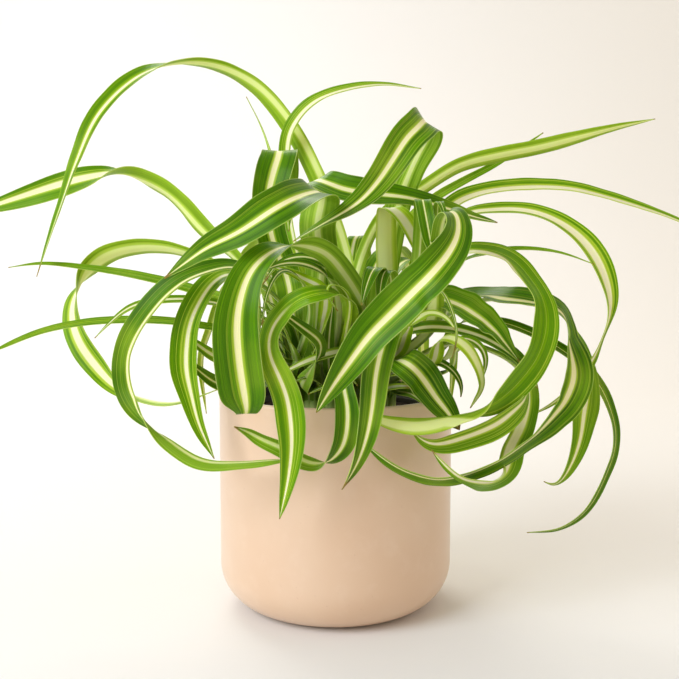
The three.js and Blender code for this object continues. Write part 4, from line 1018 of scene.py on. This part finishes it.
        (0, 4.5), (0.2, 8), (0.46, 10.5), (0.54, 12.5), (0.62, 12), (0.7, 10.5), (0.79, 10), (0.87, 9.5),
        (0.95, 6.5), (1, 0),
    ]),
    Leaf("dark_inner_left", Tone.DEEP, 11, (-15, -22), [
        (-20, 131.5, -58, "RRBU"), (-8, 155.5, -69, "FR"), (-18, 164.5, -73, "FFU"),
        (-30, 173.5, -78, "FFU"), (-41, 182, -82, "FFU"),
    ]),
    Leaf("pale_band_left", Tone.LIGHT, 9.5, (-6.5, -28.5), [
        (-10, 155, -59, "LFUU"), (-6, 187, -68, "FU"), (-18, 194.5, -63, "F"), (-30, 200, -73, "F"),
        (-43.5, 203.5, -76, "F"),
    ], stripe=0.3),
    Leaf("dark_arch_inner", Tone.DEEP, 10, (-3, -7), [
        (4, 180.5, -36, "U"), (2.5, 193, -48, "UF"), (-6, 203.5, -66, "FU"), (-18, 208, -69, "FU"),
        (-33, 204.5, -68, "FL"), (-43.5, 191, -68, "FL"),
    ]),
    Leaf("inner_hang_left", Tone.DEEP, 6, (-25, -20.5), [
        (-15, 176, -71, "RU"), (-21, 195, -83, "U"), (-31, 201, -86, "UF"), (-37.5, 193, -88, "FL"),
        (-42, 180.5, -89, "FL"), (-43.5, 165.5, -89, "F"),
    ]),
    Leaf("back_right_low", Tone.DEEP, 14, (15.5, 20), [
        (21, 170, 26, "FL"), (29, 190.5, 23, "FLUU"), (42.5, 206, 42, "U"), (56.5, 195, 72, "BRUU"),
        (67, 169.5, 90, "BR"), (70, 150.5, 96, "BR"), (68.5, 115, 93, "BRD"),
    ], fullness=3.5),
    Leaf("back_right_wide", Tone.MIDDLE, 15, (14, 29.5), [
        (20, 175.5, 33, "FFL"), (22, 197.5, 42, "FFLUUU"), (32, 212.5, 54, "U"),
        (42.5, 202.5, 83, "BBRUUU"), (49.5, 177, 111, "BBR"), (52, 150.5, 121, "BBR"),
        (50.5, 108.5, 118, "BBRD"),
    ], fullness=3.5),
    Leaf("back_right_short", Tone.MIDDLE, 12, (6.5, 25.5), [
        (3.5, 165.5, 42, "F"), (9, 206.5, 63, "FU"), (12.5, 221, 68, "U"), (16.5, 210.5, 84, "BU"),
        (18.5, 185, 100, "B"), (20, 174, 106, "B"), (19.5, 146.5, 103, "BD"),
    ], fullness=3.5),
    Leaf("back_long", Tone.DEEP, 17, (2.5, 30), [
        (-0.5, 170.5, 52, "F"), (0.5, 194, 70, "FU"), (-0.5, 209, 90, "U"), (-1.5, 199.5, 119, "BU"),
        (-1.5, 175, 141, "B"), (-2, 143, 150, "B"), (-1.5, 95, 146, "BD"),
    ], fullness=3.5),
    Leaf("back_centre", Tone.MIDDLE, 13, (3.5, 22.5), [
        (5.5, 172, 32, "F"), (-8, 201, 39, "FU"), (-13, 216, 64, "U"), (-18, 205, 89, "BU"),
        (-21.5, 180, 106, "B"), (-23, 164.5, 112, "B"), (-22.5, 132.5, 109, "BD"),
    ], fullness=3.5),
    Leaf("back_left_wide", Tone.DEEP, 16, (-13, 25.5), [
        (-4.5, 170.5, 35, "FFR"), (-20.5, 196, 62, "FFRUUU"), (-32, 210.5, 70, "U"),
        (-43.5, 200.5, 98, "BBLUUU"), (-51.5, 175.5, 119, "BBL"), (-54.5, 149, 126, "BBL"),
        (-53, 106, 122, "BBLD"),
    ], fullness=3.5),
    Leaf("back_left_short", Tone.LIGHT, 12, (-5.5, 12.5), [
        (-12.5, 167.5, 17, "FR"), (-24.5, 203, 25, "FRUU"), (-38, 217.5, 38, "U"), (-53, 207, 64, "BLUU"),
        (-62.5, 180.5, 79, "BL"), (-66.5, 163.5, 83, "BL"), (-64, 131.5, 81, "BLD"),
    ], fullness=3.5),
    Leaf("back_left_low", Tone.MIDDLE, 13, (-18, 13), [
        (-25, 167.5, 18, "FRR"), (-29.5, 185, 16, "FRRUUU"), (-46, 201, 33, "U"),
        (-63, 190, 48, "BLLUUU"), (-75, 163, 57, "BLL"), (-80, 147, 60, "BLL"), (-77.5, 114, 58, "BLLD"),
    ], fullness=3.5),
    Leaf("back_inner_right", Tone.LIGHT, 12, (-3.5, 32.5), [
        (-3, 147, 45, "F"), (-0.5, 180, 66, "FU"), (3, 193, 87, "U"), (6.5, 183, 110, "BU"),
        (10.5, 159.5, 125, "B"), (13, 156.5, 132, "B"), (15, 152, 123, "BD"),
    ], fullness=3.5),
    Leaf("back_inner_left", Tone.MIDDLE, 12, (-26.5, 17.5), [
        (-31, 147, 29, "RFF"), (-38, 181, 53, "RFFUU"), (-43, 194.5, 75, "U"), (-48, 184, 100, "BBLUU"),
        (-49.5, 160.5, 117, "BBL"), (-49.5, 157, 125, "BBL"), (-45, 152, 118, "BBLD"),
    ], fullness=3.5),
]

# Thin young leaves in the middle of the clump, which stand for no solid.
YOUNG_LEAVES = [
    Leaf("loop_by_rim", Tone.DEEP, 7, (24, -16), [
        (41, 132, -42, "U"), (47, 141.5, -50, "UF"), (54.5, 146, -56, "UF"), (63, 145, -60, "FU"),
        (70.5, 140, -62, "FU"), (75.5, 131.5, -62, "FR"), (75, 124, -58, "F"),
    ], fullness=4),
    Leaf("pale_stub_right", Tone.LIGHT, 5.5, (20, -26), [
        (29.5, 135, -46, "U"), (33.5, 139, -50, "UF"), (40.5, 138, -53, "FU"), (46.5, 133, -55, "FU"),
        (50.5, 127, -55, "F"),
    ], fullness=4, stripe=0.4),
    Leaf("low_pale_right", Tone.LIGHT, 6, (14, -26), [
        (25.5, 128.5, -44, "UF"), (31.5, 129.5, -50, "FU"), (40, 131, -54, "FU"), (50, 129.5, -56, "FU"),
    ], fullness=4, stripe=0.45),
    Leaf("low_dark_right", Tone.DEEP, 7, (28, -20), [
        (38.5, 127, -44, "UF"), (43.5, 127, -50, "FU"), (48, 124.5, -54, "F"), (52.5, 120, -56, "F"),
    ], fullness=4),
    Leaf("long_pale_centre", Tone.MIDDLE, 6.5, (8, -26), [
        (10, 145, -50, "UF"), (5, 152, -58, "FU"), (-3.5, 150, -62, "FU"), (-15, 146.5, -65, "FU"),
        (-27, 141, -67, "FU"), (-34.5, 137, -68, "FU"),
    ], fullness=5, stripe=0.45),
    Leaf("hook_centre", Tone.LIGHT, 3.6, (-2, -20), [
        (6.5, 164.5, -66, "BU"), (8.5, 182, -80, "BU"), (4, 190, -86, "U"), (-2.5, 192.5, -89, "U"),
        (-6, 190.5, -91, "FL"), (-4.5, 184, -92, "F"), (1.5, 175.5, -92, "F"),
    ], fullness=4),
    Leaf("fold_centre_a", Tone.DEEP, 11, (10, -20), [
        (21.5, 158.5, -50, "B"), (24.5, 182, -62, "B"), (26, 195, -70, "BU"), (25, 202.5, -76, "U"),
        (22, 200, -82, "FU"), (18.5, 191, -86, "F"), (15.5, 179, -88, "F"),
    ], fullness=6, stripe=0.06),
    Leaf("fold_centre_b", Tone.DEEP, 10, (16, -18), [
        (26.5, 161.5, -46, "B"), (32, 182, -58, "B"), (33, 194, -66, "BU"), (31, 201, -72, "U"),
        (28, 197.5, -78, "FU"), (26.5, 188, -82, "F"), (25.5, 176, -84, "F"),
    ], fullness=6, stripe=0.06),
    Leaf("small_fold_top", Tone.DEEP, 7, (22, -14), [
        (52.5, 182, -42, "B"), (59.5, 211.5, -60, "B"), (60, 234, -68, "BU"), (60.5, 241, -73, "U"),
        (62, 239.5, -79, "FU"), (64.5, 233.5, -83, "F"), (65.5, 224.5, -85, "F"),
    ], fullness=6, stripe=0.05),
    Leaf("dark_fan_left", Tone.DEEP, 8, (-12, -24), [
        (-14, 138, -48, "U"), (-10.5, 151, -56, "UF"), (-16.5, 161.5, -64, "FU"), (-23.5, 169, -70, "FU"),
        (-29, 174, -73, "FU"),
    ], fullness=5),
    Leaf("low_cross_a", Tone.MIDDLE, 4.5, (-4, -30), [
        (-8, 129.5, -54, "U"), (-13.5, 136, -60, "UF"), (-20, 136, -63, "FU"), (-27, 132, -65, "FU"),
    ], fullness=4),
    Leaf("low_cross_b", Tone.MIDDLE, 4.5, (2, -31), [
        (-3.5, 127, -54, "U"), (1.5, 132, -60, "UF"), (-5.5, 131, -64, "FU"), (-16.5, 126, -65, "FU"),
    ], fullness=4),
    Leaf("low_cross_c", Tone.MIDDLE, 4, (4, -28), [
        (-2, 134.5, -52, "U"), (2.5, 139, -58, "UF"), (8.5, 137, -61, "FU"), (13.5, 131, -63, "FR"),
    ], fullness=4),
    Leaf("upright_centre", Tone.DEEP, 7, (2, -22), [
        (-3.5, 139, -48, "F"), (-4, 155.5, -54, "F"), (-2.5, 171.5, -58, "F"), (-1, 182, -58, "F"),
    ], fullness=5),
    Leaf("mid_arch_left", Tone.DEEP, 9, (-10, -16), [
        (1.5, 164.5, -44, "BU"), (0.5, 187, -60, "U"), (-8, 199, -70, "UF"), (-21, 204, -76, "FU"),
        (-33, 203.5, -80, "FU"), (-43.5, 199, -83, "FFU"),
    ], fullness=5, stripe=0.25),
    Leaf("inner_spear_left", Tone.MIDDLE, 6, (-18, -18), [
        (-26, 155.5, -50, "UF"), (-32, 169, -62, "FU"), (-37.5, 175, -68, "FU"), (-46, 178.5, -72, "FU"),
    ], fullness=4),
    Leaf("low_left_a", Tone.MIDDLE, 6, (-24, -20), [
        (-30.5, 139, -48, "U"), (-38, 147.5, -56, "UF"), (-48.5, 148, -62, "FU"),
        (-59.5, 141.5, -66, "FU"),
    ], fullness=4),
    Leaf("low_left_b", Tone.MIDDLE, 5, (-22, -24), [
        (-29.5, 133, -50, "U"), (-35.5, 138, -56, "UF"), (-44, 135.5, -60, "FU"), (-51, 129.5, -62, "FL"),
    ], fullness=4),
]


def start_ring(name: str, radius: float, height: float, sides: int) -> bpy.types.Object:
    """Adds a filled circle round the pot's axis and opens it for edits, with all of it selected.

    Args:
        name: The piece's name.
        radius: The circle's radius.
        height: Its height over the pot's foot.
        sides: How many flats it has.

    Returns:
        The piece, in edit mode.
    """
    deselect()
    bpy.ops.mesh.primitive_circle_add(
        vertices=sides, radius=radius * MM, fill_type="NGON", location=(0, 0, height * MM)
    )
    bpy.ops.object.transform_apply()
    piece = bpy.context.object
    piece.name = piece.data.name = name
    bpy.ops.object.mode_set(mode="EDIT")
    bpy.ops.mesh.select_all(action="SELECT")
    return piece


def pull_up(height: float) -> None:
    """Extrudes what is selected straight up, by a height in millimetres."""
    bpy.ops.mesh.extrude_region_move(TRANSFORM_OT_translate={"value": (0, 0, height * MM)})


def cut_rings(radius: float, count: int) -> None:
    """Insets a disc of that radius into even rings."""
    for _ in range(count):
        bpy.ops.mesh.inset(thickness=radius / (count + 1) * MM)


def turn_up(name: str, outline: list[Point], sides: int) -> bpy.types.Object:
    """Turns a vessel by pulling one ring of faces through its outline.

    Args:
        name: The piece's name.
        outline: (radius, height) from the underside, up the outside and down to the floor inside.
        sides: How many flats the ring has.

    Returns:
        The piece, smooth and closed.
    """
    (radius, height), *rest = outline
    piece = start_ring(name, radius, height, sides)
    bpy.ops.mesh.inset(thickness=radius * 0.5 * MM)
    bpy.ops.mesh.select_all(action="SELECT")
    bpy.ops.mesh.flip_normals()
    bpy.ops.mesh.region_to_loop()
    for next_radius, next_height in rest:
        pull_up(next_height - height)
        bpy.ops.transform.resize(value=(next_radius / radius, next_radius / radius, 1))
        radius, height = next_radius, next_height
    bpy.ops.mesh.edge_face_add()
    bpy.ops.mesh.select_all(action="SELECT")
    bpy.ops.mesh.normals_make_consistent(inside=False)
    bpy.ops.object.mode_set(mode="OBJECT")
    smooth(40)
    return piece


def arc(middle: Point, radius: float, start: float, end: float, steps: int) -> list[Point]:
    """Points of a round corner, from one angle to another in degrees."""
    turns = [math.radians(start + (end - start) * k / steps) for k in range(steps + 1)]
    return [(middle[0] + radius * math.cos(turn), middle[1] + radius * math.sin(turn)) for turn in turns]


@dataclass(frozen=True)
class SatinGlaze:
    """The cover pot's smooth peach glaze, a little cloudy and never quite even."""

    body: str = "E0C1A3"
    warm: str = "DCBA9A"
    pale: str = "E6CAB0"
    speck: str = "C09A7C"
    roughness: float = 0.36

    def build(self) -> bpy.types.Material:
        """Makes the glaze.

        Returns:
            The material.
        """
        paint = Paint("pot_glaze")
        place = paint.place()
        cloud = paint.noise(place, 14.0, 3.0)
        grain = paint.noise(place, 900.0, 2.0)
        drift = paint.noise(place, 70.0, 3.0, 0.6)
        body = paint.mix(paint.step(cloud, 0.3, 0.7), colour(self.body), colour(self.warm))
        body = paint.over(body, paint.step(drift, 0.5, 0.8) * 0.35, self.pale)
        specks = paint.step(paint.noise(place, 420.0, 1.0), 0.74, 0.8)
        body = paint.over(body, specks * 0.18, self.speck)
        paint.feed(
            Base_Color=body,
            Roughness=self.roughness + (drift - 0.5) * 0.12 + (grain - 0.5) * 0.06,
            Normal=paint.bump(grain * 0.5 + drift * 2, 0.00006, 0.5),
            Specular_IOR_Level=0.5,
            Coat_Weight=0.5,
            Coat_Roughness=0.3,
        )
        return paint.material


@dataclass
class CoverPot:
    """The round ceramic pot: a short round foot, a straight wall and a softly rounded rim.

    The foot's round starts at its radius, with a flat ring inside it. The numbers of steps and bands say
    how fine the rounds and the wall are.
    """

    radius: float = 69.0
    height: float = 128.0
    wall: float = 4.0
    floor: float = 6.0
    foot_radius: float = 42.0
    rim_round: float = 1.6
    flat_ring: float = 9.0
    throat: float = 20.0
    foot_steps: int = 22
    rim_steps: int = 6
    inside_steps: int = 10
    bands: int = 8
    sides: int = 168
    glaze: SatinGlaze = SatinGlaze()

    def outline(self) -> list[Point]:
        """The section from the underside, over the rim and down inside to the floor.

        Returns:
            Its points, as (radius, height).
        """
        turn = self.radius - self.foot_radius
        inner = self.radius - self.wall
        lip = self.height - self.rim_round
        band = (lip - turn) / self.bands
        return [
            (self.foot_radius - self.flat_ring, 0.0),
            (self.foot_radius - 0.5, 0.0),
            *arc((self.foot_radius, turn), turn, -89, 0, self.foot_steps),
            *((self.radius, turn + k * band) for k in range(1, self.bands)),
            *arc((self.radius - self.rim_round, lip), self.rim_round, 0, 90, self.rim_steps),
            *arc((inner + self.rim_round, lip), self.rim_round, 90, 180, self.rim_steps),
            (inner, self.height - self.throat),
            (inner, turn + self.wall * 2),
            *arc((self.foot_radius, turn + self.wall), inner - self.foot_radius, 0, -89, self.inside_steps),
            (self.foot_radius - self.wall * 3, self.floor),
        ]

    def build(self) -> None:
        """Makes the pot in its solid's place."""
        piece = turn_up("cover_pot", self.outline(), self.sides)
        piece.data.materials.append(self.glaze.build())
        settle(piece, "pot", "pot")


@dataclass(frozen=True)
class DullPlastic:
    """The grow pot's dark plastic: fine moulded grain, dusty towards the lip."""

    body: str = "2A2523"
    worn: str = "3A3230"
    dust: str = "8B8383"
    lip: float = 0.125
    dust_reach: float = 0.004

    def build(self) -> bpy.types.Material:
        """Makes the plastic.

        Returns:
            The material.
        """
        paint = Paint("grow_pot_plastic")
        place = paint.place()
        height = paint.axis(place, 2)
        grain = paint.noise(place, 1400.0, 2.0)
        smear = paint.noise(place, 55.0, 3.0, 0.6)
        dust = paint.step(height, self.lip - self.dust_reach, self.lip) * paint.step(smear, 0.3, 0.7)
        body = paint.mix(smear * 0.4, colour(self.body), colour(self.worn))
        body = paint.over(body, dust * 0.7, self.dust)
        paint.feed(
            Base_Color=body,
            Roughness=0.5 + (smear - 0.5) * 0.3,
            Normal=paint.bump(grain, 0.00008, 0.6),
            Specular_IOR_Level=0.45,
        )
        return paint.material


@dataclass
class GrowPot:
    """The thin plastic pot that the plant was sold in, with a rolled lip.

    Its foot's edge is listed as (out, up) from the foot's rim. The lip steps out from the wall.
    """

    foot_radius: float = 43.0
    radius: float = 60.5
    lip_radius: float = 63.0
    top: float = 125.0
    lip_drop: float = 9.0
    wall: float = 1.2
    foot: float = 6.3
    foot_rise: float = 18.0
    foot_edge: tuple[Point, ...] = ((-4, 0), (-2.4, 0), (-1.8, 0.8))
    lip_step: float = 1.6
    lip_steps: int = 8
    sides: int = 144
    plastic: DullPlastic = DullPlastic()

    def outline(self) -> list[Point]:
        """The section from the underside, over the lip and down inside to the floor.

        Returns:
            Its points, as (radius, height).
        """
        shoulder = self.top - self.lip_drop
        half = self.wall / 2
        return [
            *((self.foot_radius + out, self.foot + up) for out, up in self.foot_edge),
            (self.foot_radius, self.foot + self.foot_rise),
            (self.radius, shoulder),
            (self.radius + self.lip_step, shoulder + 0.5),
            (self.lip_radius, shoulder + self.lip_step),
            (self.lip_radius, self.top - half),
            *arc((self.lip_radius - half, self.top - half), half, 0, 180, self.lip_steps),
            (self.lip_radius - self.wall, shoulder + self.wall + 1.5),
            (self.radius - self.wall, shoulder + self.wall),
            (self.foot_radius - self.wall, self.foot + self.foot_rise),
            (self.foot_radius - self.wall - 2, self.foot + self.wall),
        ]

    def build(self) -> None:
        """Makes the grow pot in its solid's place."""
        piece = turn_up("grow_pot_liner", self.outline(), self.sides)
        piece.data.materials.append(self.plastic.build())
        settle(piece, "grow_pot", "grow_pot")


@dataclass(frozen=True)
class DarkCompost:
    """Damp potting compost: dark brown fibres, crumbs and a few pale grains."""

    dark: str = "1D130D"
    brown: str = "43301F"
    strand: str = "6B5138"
    pale: str = "B9AD98"

    def build(self) -> bpy.types.Material:
        """Makes the compost.

        Returns:
            The material.
        """
        paint = Paint("potting_soil")
        place = paint.place()
        lump = paint.noise(place, 160.0, 4.0, 0.7)
        fibre = paint.noise(place, 700.0, 4.0, 0.7)
        body = paint.mix(paint.step(lump, 0.35, 0.7), colour(self.dark), colour(self.brown))
        body = paint.over(body, paint.step(fibre, 0.6, 0.75) * 0.4, self.strand)
        body = paint.over(body, paint.step(paint.attribute("pale"), 0.4, 0.6), self.pale)
        paint.feed(
            Base_Color=body,
            Roughness=0.93,
            Normal=paint.bump(lump + fibre * 0.6, 0.0006, 0.9),
            Specular_IOR_Level=0.2,
        )
        return paint.material


@dataclass
class Soil:
    """The soil's lumpy top, with loose crumbs on it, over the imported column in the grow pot."""

    top: float = 114.6
    radius: float = 58.6
    depth: float = 100.0
    foot_radius: float = 41.0
    rings: int = 15
    sides: int = 96
    crumbs: int = 620
    crumb_sizes: Point = (0.7, 2.1)
    grains: int = 46
    grain_sizes: Point = (0.6, 1.1)
    bare_edge: float = 3.0
    seed: int = 71
    compost: DarkCompost = DarkCompost()

    def lump(self, x: float, y: float) -> float:
        """How high the soil stands at a place, in millimetres above its mean top."""
        swell = 0.7 * math.sin(x * 0.11 + 1.3) * math.cos(y * 0.13 - 0.4)
        return swell + 0.5 * math.sin(x * 0.31 + y * 0.23) + 0.3 * math.cos(x * 0.57 - y * 0.49)

    def column(self) -> bpy.types.Object:
        """Makes the packed soil with a lumpy top of rings.

        Returns:
            The piece.
        """
        piece = start_ring("potting_soil_top", self.foot_radius, self.top - self.depth, self.sides)
        bpy.ops.mesh.flip_normals()
        bpy.ops.mesh.region_to_loop()
        pull_up(self.depth)
        grow = self.radius / self.foot_radius
        bpy.ops.transform.resize(value=(grow, grow, 1))
        bpy.ops.mesh.edge_face_add()
        cut_rings(self.radius, self.rings)
        bpy.ops.object.mode_set(mode="OBJECT")
        points = points_of(piece.data)
        for point in points:
            if point[2] > (self.top - 1) * MM:
                point[2] += self.lump(point[0] / MM, point[1] / MM) * MM
        move_points(piece.data, points)
        return piece

    def crumb(self, chance: random.Random, size: float) -> bpy.types.Object:
        """Models one crumb of that size on the soil.

        Args:
            chance: The seeded draw that places, shapes and turns it.
            size: Its radius.

        Returns:
            The piece.
        """
        reach = (self.radius - self.bare_edge) * math.sqrt(chance.random())
        angle = chance.uniform(0, 2 * math.pi)
        x, y = reach * math.cos(angle), reach * math.sin(angle)
        deselect()
        bpy.ops.mesh.primitive_ico_sphere_add(subdivisions=1, radius=size * MM)
        piece = bpy.context.object
        points = points_of(piece.data) * np.array([1, chance.uniform(0.5, 1), chance.uniform(0.4, 0.8)])
        points += np.array([[chance.uniform(-0.25, 0.25) * size * MM for _ in range(3)] for _ in points])
        turn = chance.uniform(0, math.pi)
        cos, sin = math.cos(turn), math.sin(turn)
        points = points @ np.array([[cos, sin, 0], [-sin, cos, 0], [0, 0, 1]])
        points += np.array([x, y, self.top + self.lump(x, y) + size * 0.1]) * MM
        move_points(piece.data, points)
        return piece

    def build(self) -> None:
        """Makes the soil in its solid's place."""
        chance = random.Random(self.seed)
        top = self.column()
        add_attribute(top.data, "pale", 0.0)
        parts = [top]
        for number in range(self.crumbs + self.grains):
            pale = number >= self.crumbs
            piece = self.crumb(chance, chance.uniform(*(self.grain_sizes if pale else self.crumb_sizes)))
            add_attribute(piece.data, "pale", float(pale))
            parts.append(piece)
        joined(parts)
        smooth(50)
        top.data.materials.append(self.compost.build())
        settle(top, "soil", "soil")


@dataclass(frozen=True)
class CrownSkin:
    """The crown: pale leaf bases that go green upwards and brown between."""

    pale: str = "C3CD86"
    green: str = "7E9A3F"
    brown: str = "6E5530"

    def build(self) -> bpy.types.Material:
        """Makes the crown's skin.

        Returns:
            The material.
        """
        paint = Paint("crown_skin")
        place = paint.place()
        height = paint.axis(place, 2)
        streak = paint.noise(place, 240.0, 3.0, 0.6)
        patch = paint.noise(place, 60.0, 2.0)
        body = paint.mix(paint.step(height, 0.119, 0.126), colour(self.pale), colour(self.green))
        body = paint.over(body, paint.step(streak, 0.5, 0.75) * 0.5, self.green)
        low = 1 - paint.step(height, 0.118, 0.122)
        body = paint.over(body, paint.step(patch, 0.52, 0.7) * low, self.brown)
        paint.feed(
            Base_Color=body,
            Roughness=0.55 + (streak - 0.5) * 0.2,
            Normal=paint.bump(streak, 0.0003, 0.7),
            Subsurface_Weight=0.2,
            Subsurface_Radius=(0.6, 1.0, 0.2),
            Subsurface_Scale=0.002,
        )
        return paint.material


@dataclass
class Crown:
    """The low clump that the leaves grow from: a mound with a short sheath round each leaf's foot.

    A sheath is sunk into the mound and stands a little clear of the leaf. It narrows upwards, and its
    crest is highest on the leaf's under side.
    """

    leaves: list[Leaf]
    radius: float = 37.0
    foot: float = 115.2
    top: float = 120.4
    sheath: float = 9.0
    sheath_least: float = 0.55
    sheath_sunk: float = 4.5
    sheath_stem: float = 4.0
    sheath_gap: float = 0.7
    sheath_depth: float = 1.5
    sheath_sides: int = 14
    sides: int = 72
    rings: int = 14
    seed: int = 29
    skin: CrownSkin = CrownSkin()

    def mound(self) -> bpy.types.Object:
        """Makes the lumpy mound.

        Returns:
            The piece.
        """
        piece = start_ring("leaf_crown", self.radius, self.foot, self.sides)
        rise = (self.top - self.foot) * 0.5
        pull_up(rise)
        cut_rings(self.radius, self.rings)
        bpy.ops.object.mode_set(mode="OBJECT")
        points = points_of(piece.data) / MM
        for point in points:
            if point[2] > self.foot + rise * 0.5:
                reach = math.hypot(point[0], point[1]) / self.radius
                lump = math.sin(point[0] * 0.9) * math.cos(point[1] * 0.8)
                point[2] += rise * (1 - reach**3) + lump * 0.4 * (1 - reach)
        move_points(piece.data, points * MM)
        return piece

    def sheath_round(self, leaf: Leaf, chance: random.Random) -> bpy.types.Object:
        """Makes the sheath round one leaf's foot.

        Args:
            leaf: The leaf.
            chance: The seeded draw that gives it its own height.

        Returns:
            The piece.
        """
        places, facings = leaf.controls()
        foot, lean, up = places[0], (places[1] - places[0]) / LEAF_NECK, facings[0]
        side = np.cross(lean, up)
        wide = leaf.width * leaf.base * 0.5 + self.sheath_gap
        deselect()
        bpy.ops.mesh.primitive_cylinder_add(
            vertices=self.sheath_sides, radius=1, depth=1, end_fill_type="NOTHING"
        )
        piece = bpy.context.object
        bpy.ops.object.mode_set(mode="EDIT")
        bpy.ops.mesh.select_all(action="SELECT")
        bpy.ops.mesh.subdivide(number_cuts=1)
        bpy.ops.object.mode_set(mode="OBJECT")
        points = points_of(piece.data)
        angle = np.arctan2(points[:, 1], points[:, 0])
        high = points[:, 2] + 0.5
        crest = self.sheath * chance.uniform(self.sheath_least, 1.0) * high * (0.72 + 0.28 * np.sin(angle))
        spread = 1.12 - 0.2 * high
        deep = np.sin(angle) * (self.sheath_depth + wide * 0.16) * spread - wide * 0.1
        points = (
            foot
            + side * (np.cos(angle) * wide * spread)[:, None]
            - up * deep[:, None]
            + lean * (crest + self.sheath_stem * high)[:, None]
        )
        points[:, 2] -= self.sheath_sunk
        move_points(piece.data, points * MM)
        return piece

    def build(self) -> None:
        """Makes the crown in its solid's place."""
        chance = random.Random(self.seed)
        mound = self.mound()
        parts = [mound, *(self.sheath_round(leaf, chance) for leaf in self.leaves)]
        joined(parts)
        smooth(60)
        mound.data.materials.append(self.skin.build())
        settle(mound, "crown", "crown")


PLANT_MIDDLE = Vector((0, 0, 0.2))


@dataclass(frozen=True)
class Lamp:
    """One soft square lamp that faces the plant, with its place and side in metres and power in watts."""

    name: str
    place: tuple[float, float, float]
    size: float
    power: float
    tint: str

    def hang(self) -> None:
        """Hangs the lamp, turned to the middle of the plant."""
        lamp = bpy.data.lights.new(self.name, "AREA")
        lamp.shape, lamp.size, lamp.energy = "SQUARE", self.size, self.power
        lamp.color = colour(self.tint)[:3]
        holder = bpy.data.objects.new(self.name, lamp)
        holder.location = self.place
        look = PLANT_MIDDLE - Vector(self.place)
        holder.rotation_euler = look.to_track_quat("-Z", "Y").to_euler()
        bpy.context.scene.collection.objects.link(holder)


@dataclass
class Studio:
    """The pale floor and backdrop, the soft lights and the camera, in metres and radians."""

    look_down: float = 0.0924
    lens: float = 54.4
    sensor: float = 36.0
    nearest: float = 0.02
    floor_half: float = 2.6
    wall_at: float = 1.5
    wall_height: float = 3.0
    corner: float = 0.7
    corner_steps: int = 24
    floor_left: str = "E8E7E5"
    floor_right_warm_light: str = "EEEAE2"
    air: str = "FFF4E7"
    air_strength: float = 0.64
    lamps: tuple[Lamp, ...] = (
        Lamp("key", (-1.47, -1.28, 1.25), 1.2, 40.0, "E8F2FF"),
        Lamp("back", (-0.5, 1.15, 1.4), 1.0, 14.0, "FFFCF6"),
        Lamp("side", (1.6, 0.2, 0.95), 0.5, 1.8, "F8FAFF"),
    )

    def place_camera(self) -> None:
        """Puts the camera where the photograph was taken from."""
        camera = bpy.data.cameras.new("camera")
        camera.lens, camera.sensor_width = self.lens, self.sensor
        camera.clip_start = self.nearest
        holder = bpy.data.objects.new("camera", camera)
        holder.location = EYE * MM
        holder.rotation_euler = (math.pi / 2 - self.look_down, 0, 0)
        bpy.context.scene.collection.objects.link(holder)
        bpy.context.scene.camera = holder

    def sweep(self) -> None:
        """Makes the floor that curves up into a backdrop, with painted warm light towards its right."""
        deselect()
        bpy.ops.mesh.primitive_plane_add(size=2)
        floor = bpy.context.object
        floor.name = "floor"
        points = points_of(floor.data) * np.array([self.floor_half, self.floor_half, 1])
        points[:, 1] = np.where(points[:, 1] > 0, self.wall_at, points[:, 1])
        move_points(floor.data, points)
        bpy.ops.object.mode_set(mode="EDIT")
        bpy.ops.mesh.select_all(action="DESELECT")
        bpy.ops.object.mode_set(mode="OBJECT")
        for edge in floor.data.edges:
            edge.select = all(points[k][1] > 0 for k in edge.vertices)
        bpy.ops.object.mode_set(mode="EDIT")
        pull_up(self.wall_height / MM)
        bpy.ops.object.mode_set(mode="OBJECT")
        curve = floor.modifiers.new("curve", "BEVEL")
        curve.width, curve.segments, curve.limit_method = self.corner, self.corner_steps, "ANGLE"
        bpy.ops.object.modifier_apply(modifier=curve.name)
        bpy.ops.object.shade_smooth()
        paint = Paint("pale_floor")
        place = paint.place()
        grain = paint.noise(place, 90.0)
        # Painted warm light: the floor and backdrop grow warmer and a little brighter towards the right.
        right = paint.step(paint.axis(place, 0), -0.5, 0.9) + (grain - 0.5) * 0.2
        paint.feed(
            Base_Color=paint.mix(right, colour(self.floor_left), colour(self.floor_right_warm_light)),
            Roughness=0.75,
            Specular_IOR_Level=0.2,
        )
        floor.data.materials.append(paint.material)

    def light_up(self) -> None:
        """Sets the lamps and the even light round them."""
        world = bpy.data.worlds.new("studio")
        world.use_nodes = True
        ground = world.node_tree.nodes["Background"]
        ground.inputs["Color"].default_value = colour(self.air)
        ground.inputs["Strength"].default_value = self.air_strength
        bpy.context.scene.world = world
        for lamp in self.lamps:
            lamp.hang()
        bpy.context.scene.view_settings.view_transform = "Standard"


def main() -> None:
    """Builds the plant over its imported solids."""
    logging.basicConfig(level=logging.INFO, format="%(message)s")
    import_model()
    studio = Studio()
    studio.place_camera()
    deselect()
    CoverPot().build()
    GrowPot().build()
    Soil().build()
    Crown(LEAVES + YOUNG_LEAVES).build()
    Foliage(LEAVES, YOUNG_LEAVES).build()
    studio.sweep()
    studio.light_up()
    deselect()


if __name__ == "__main__":
    main()
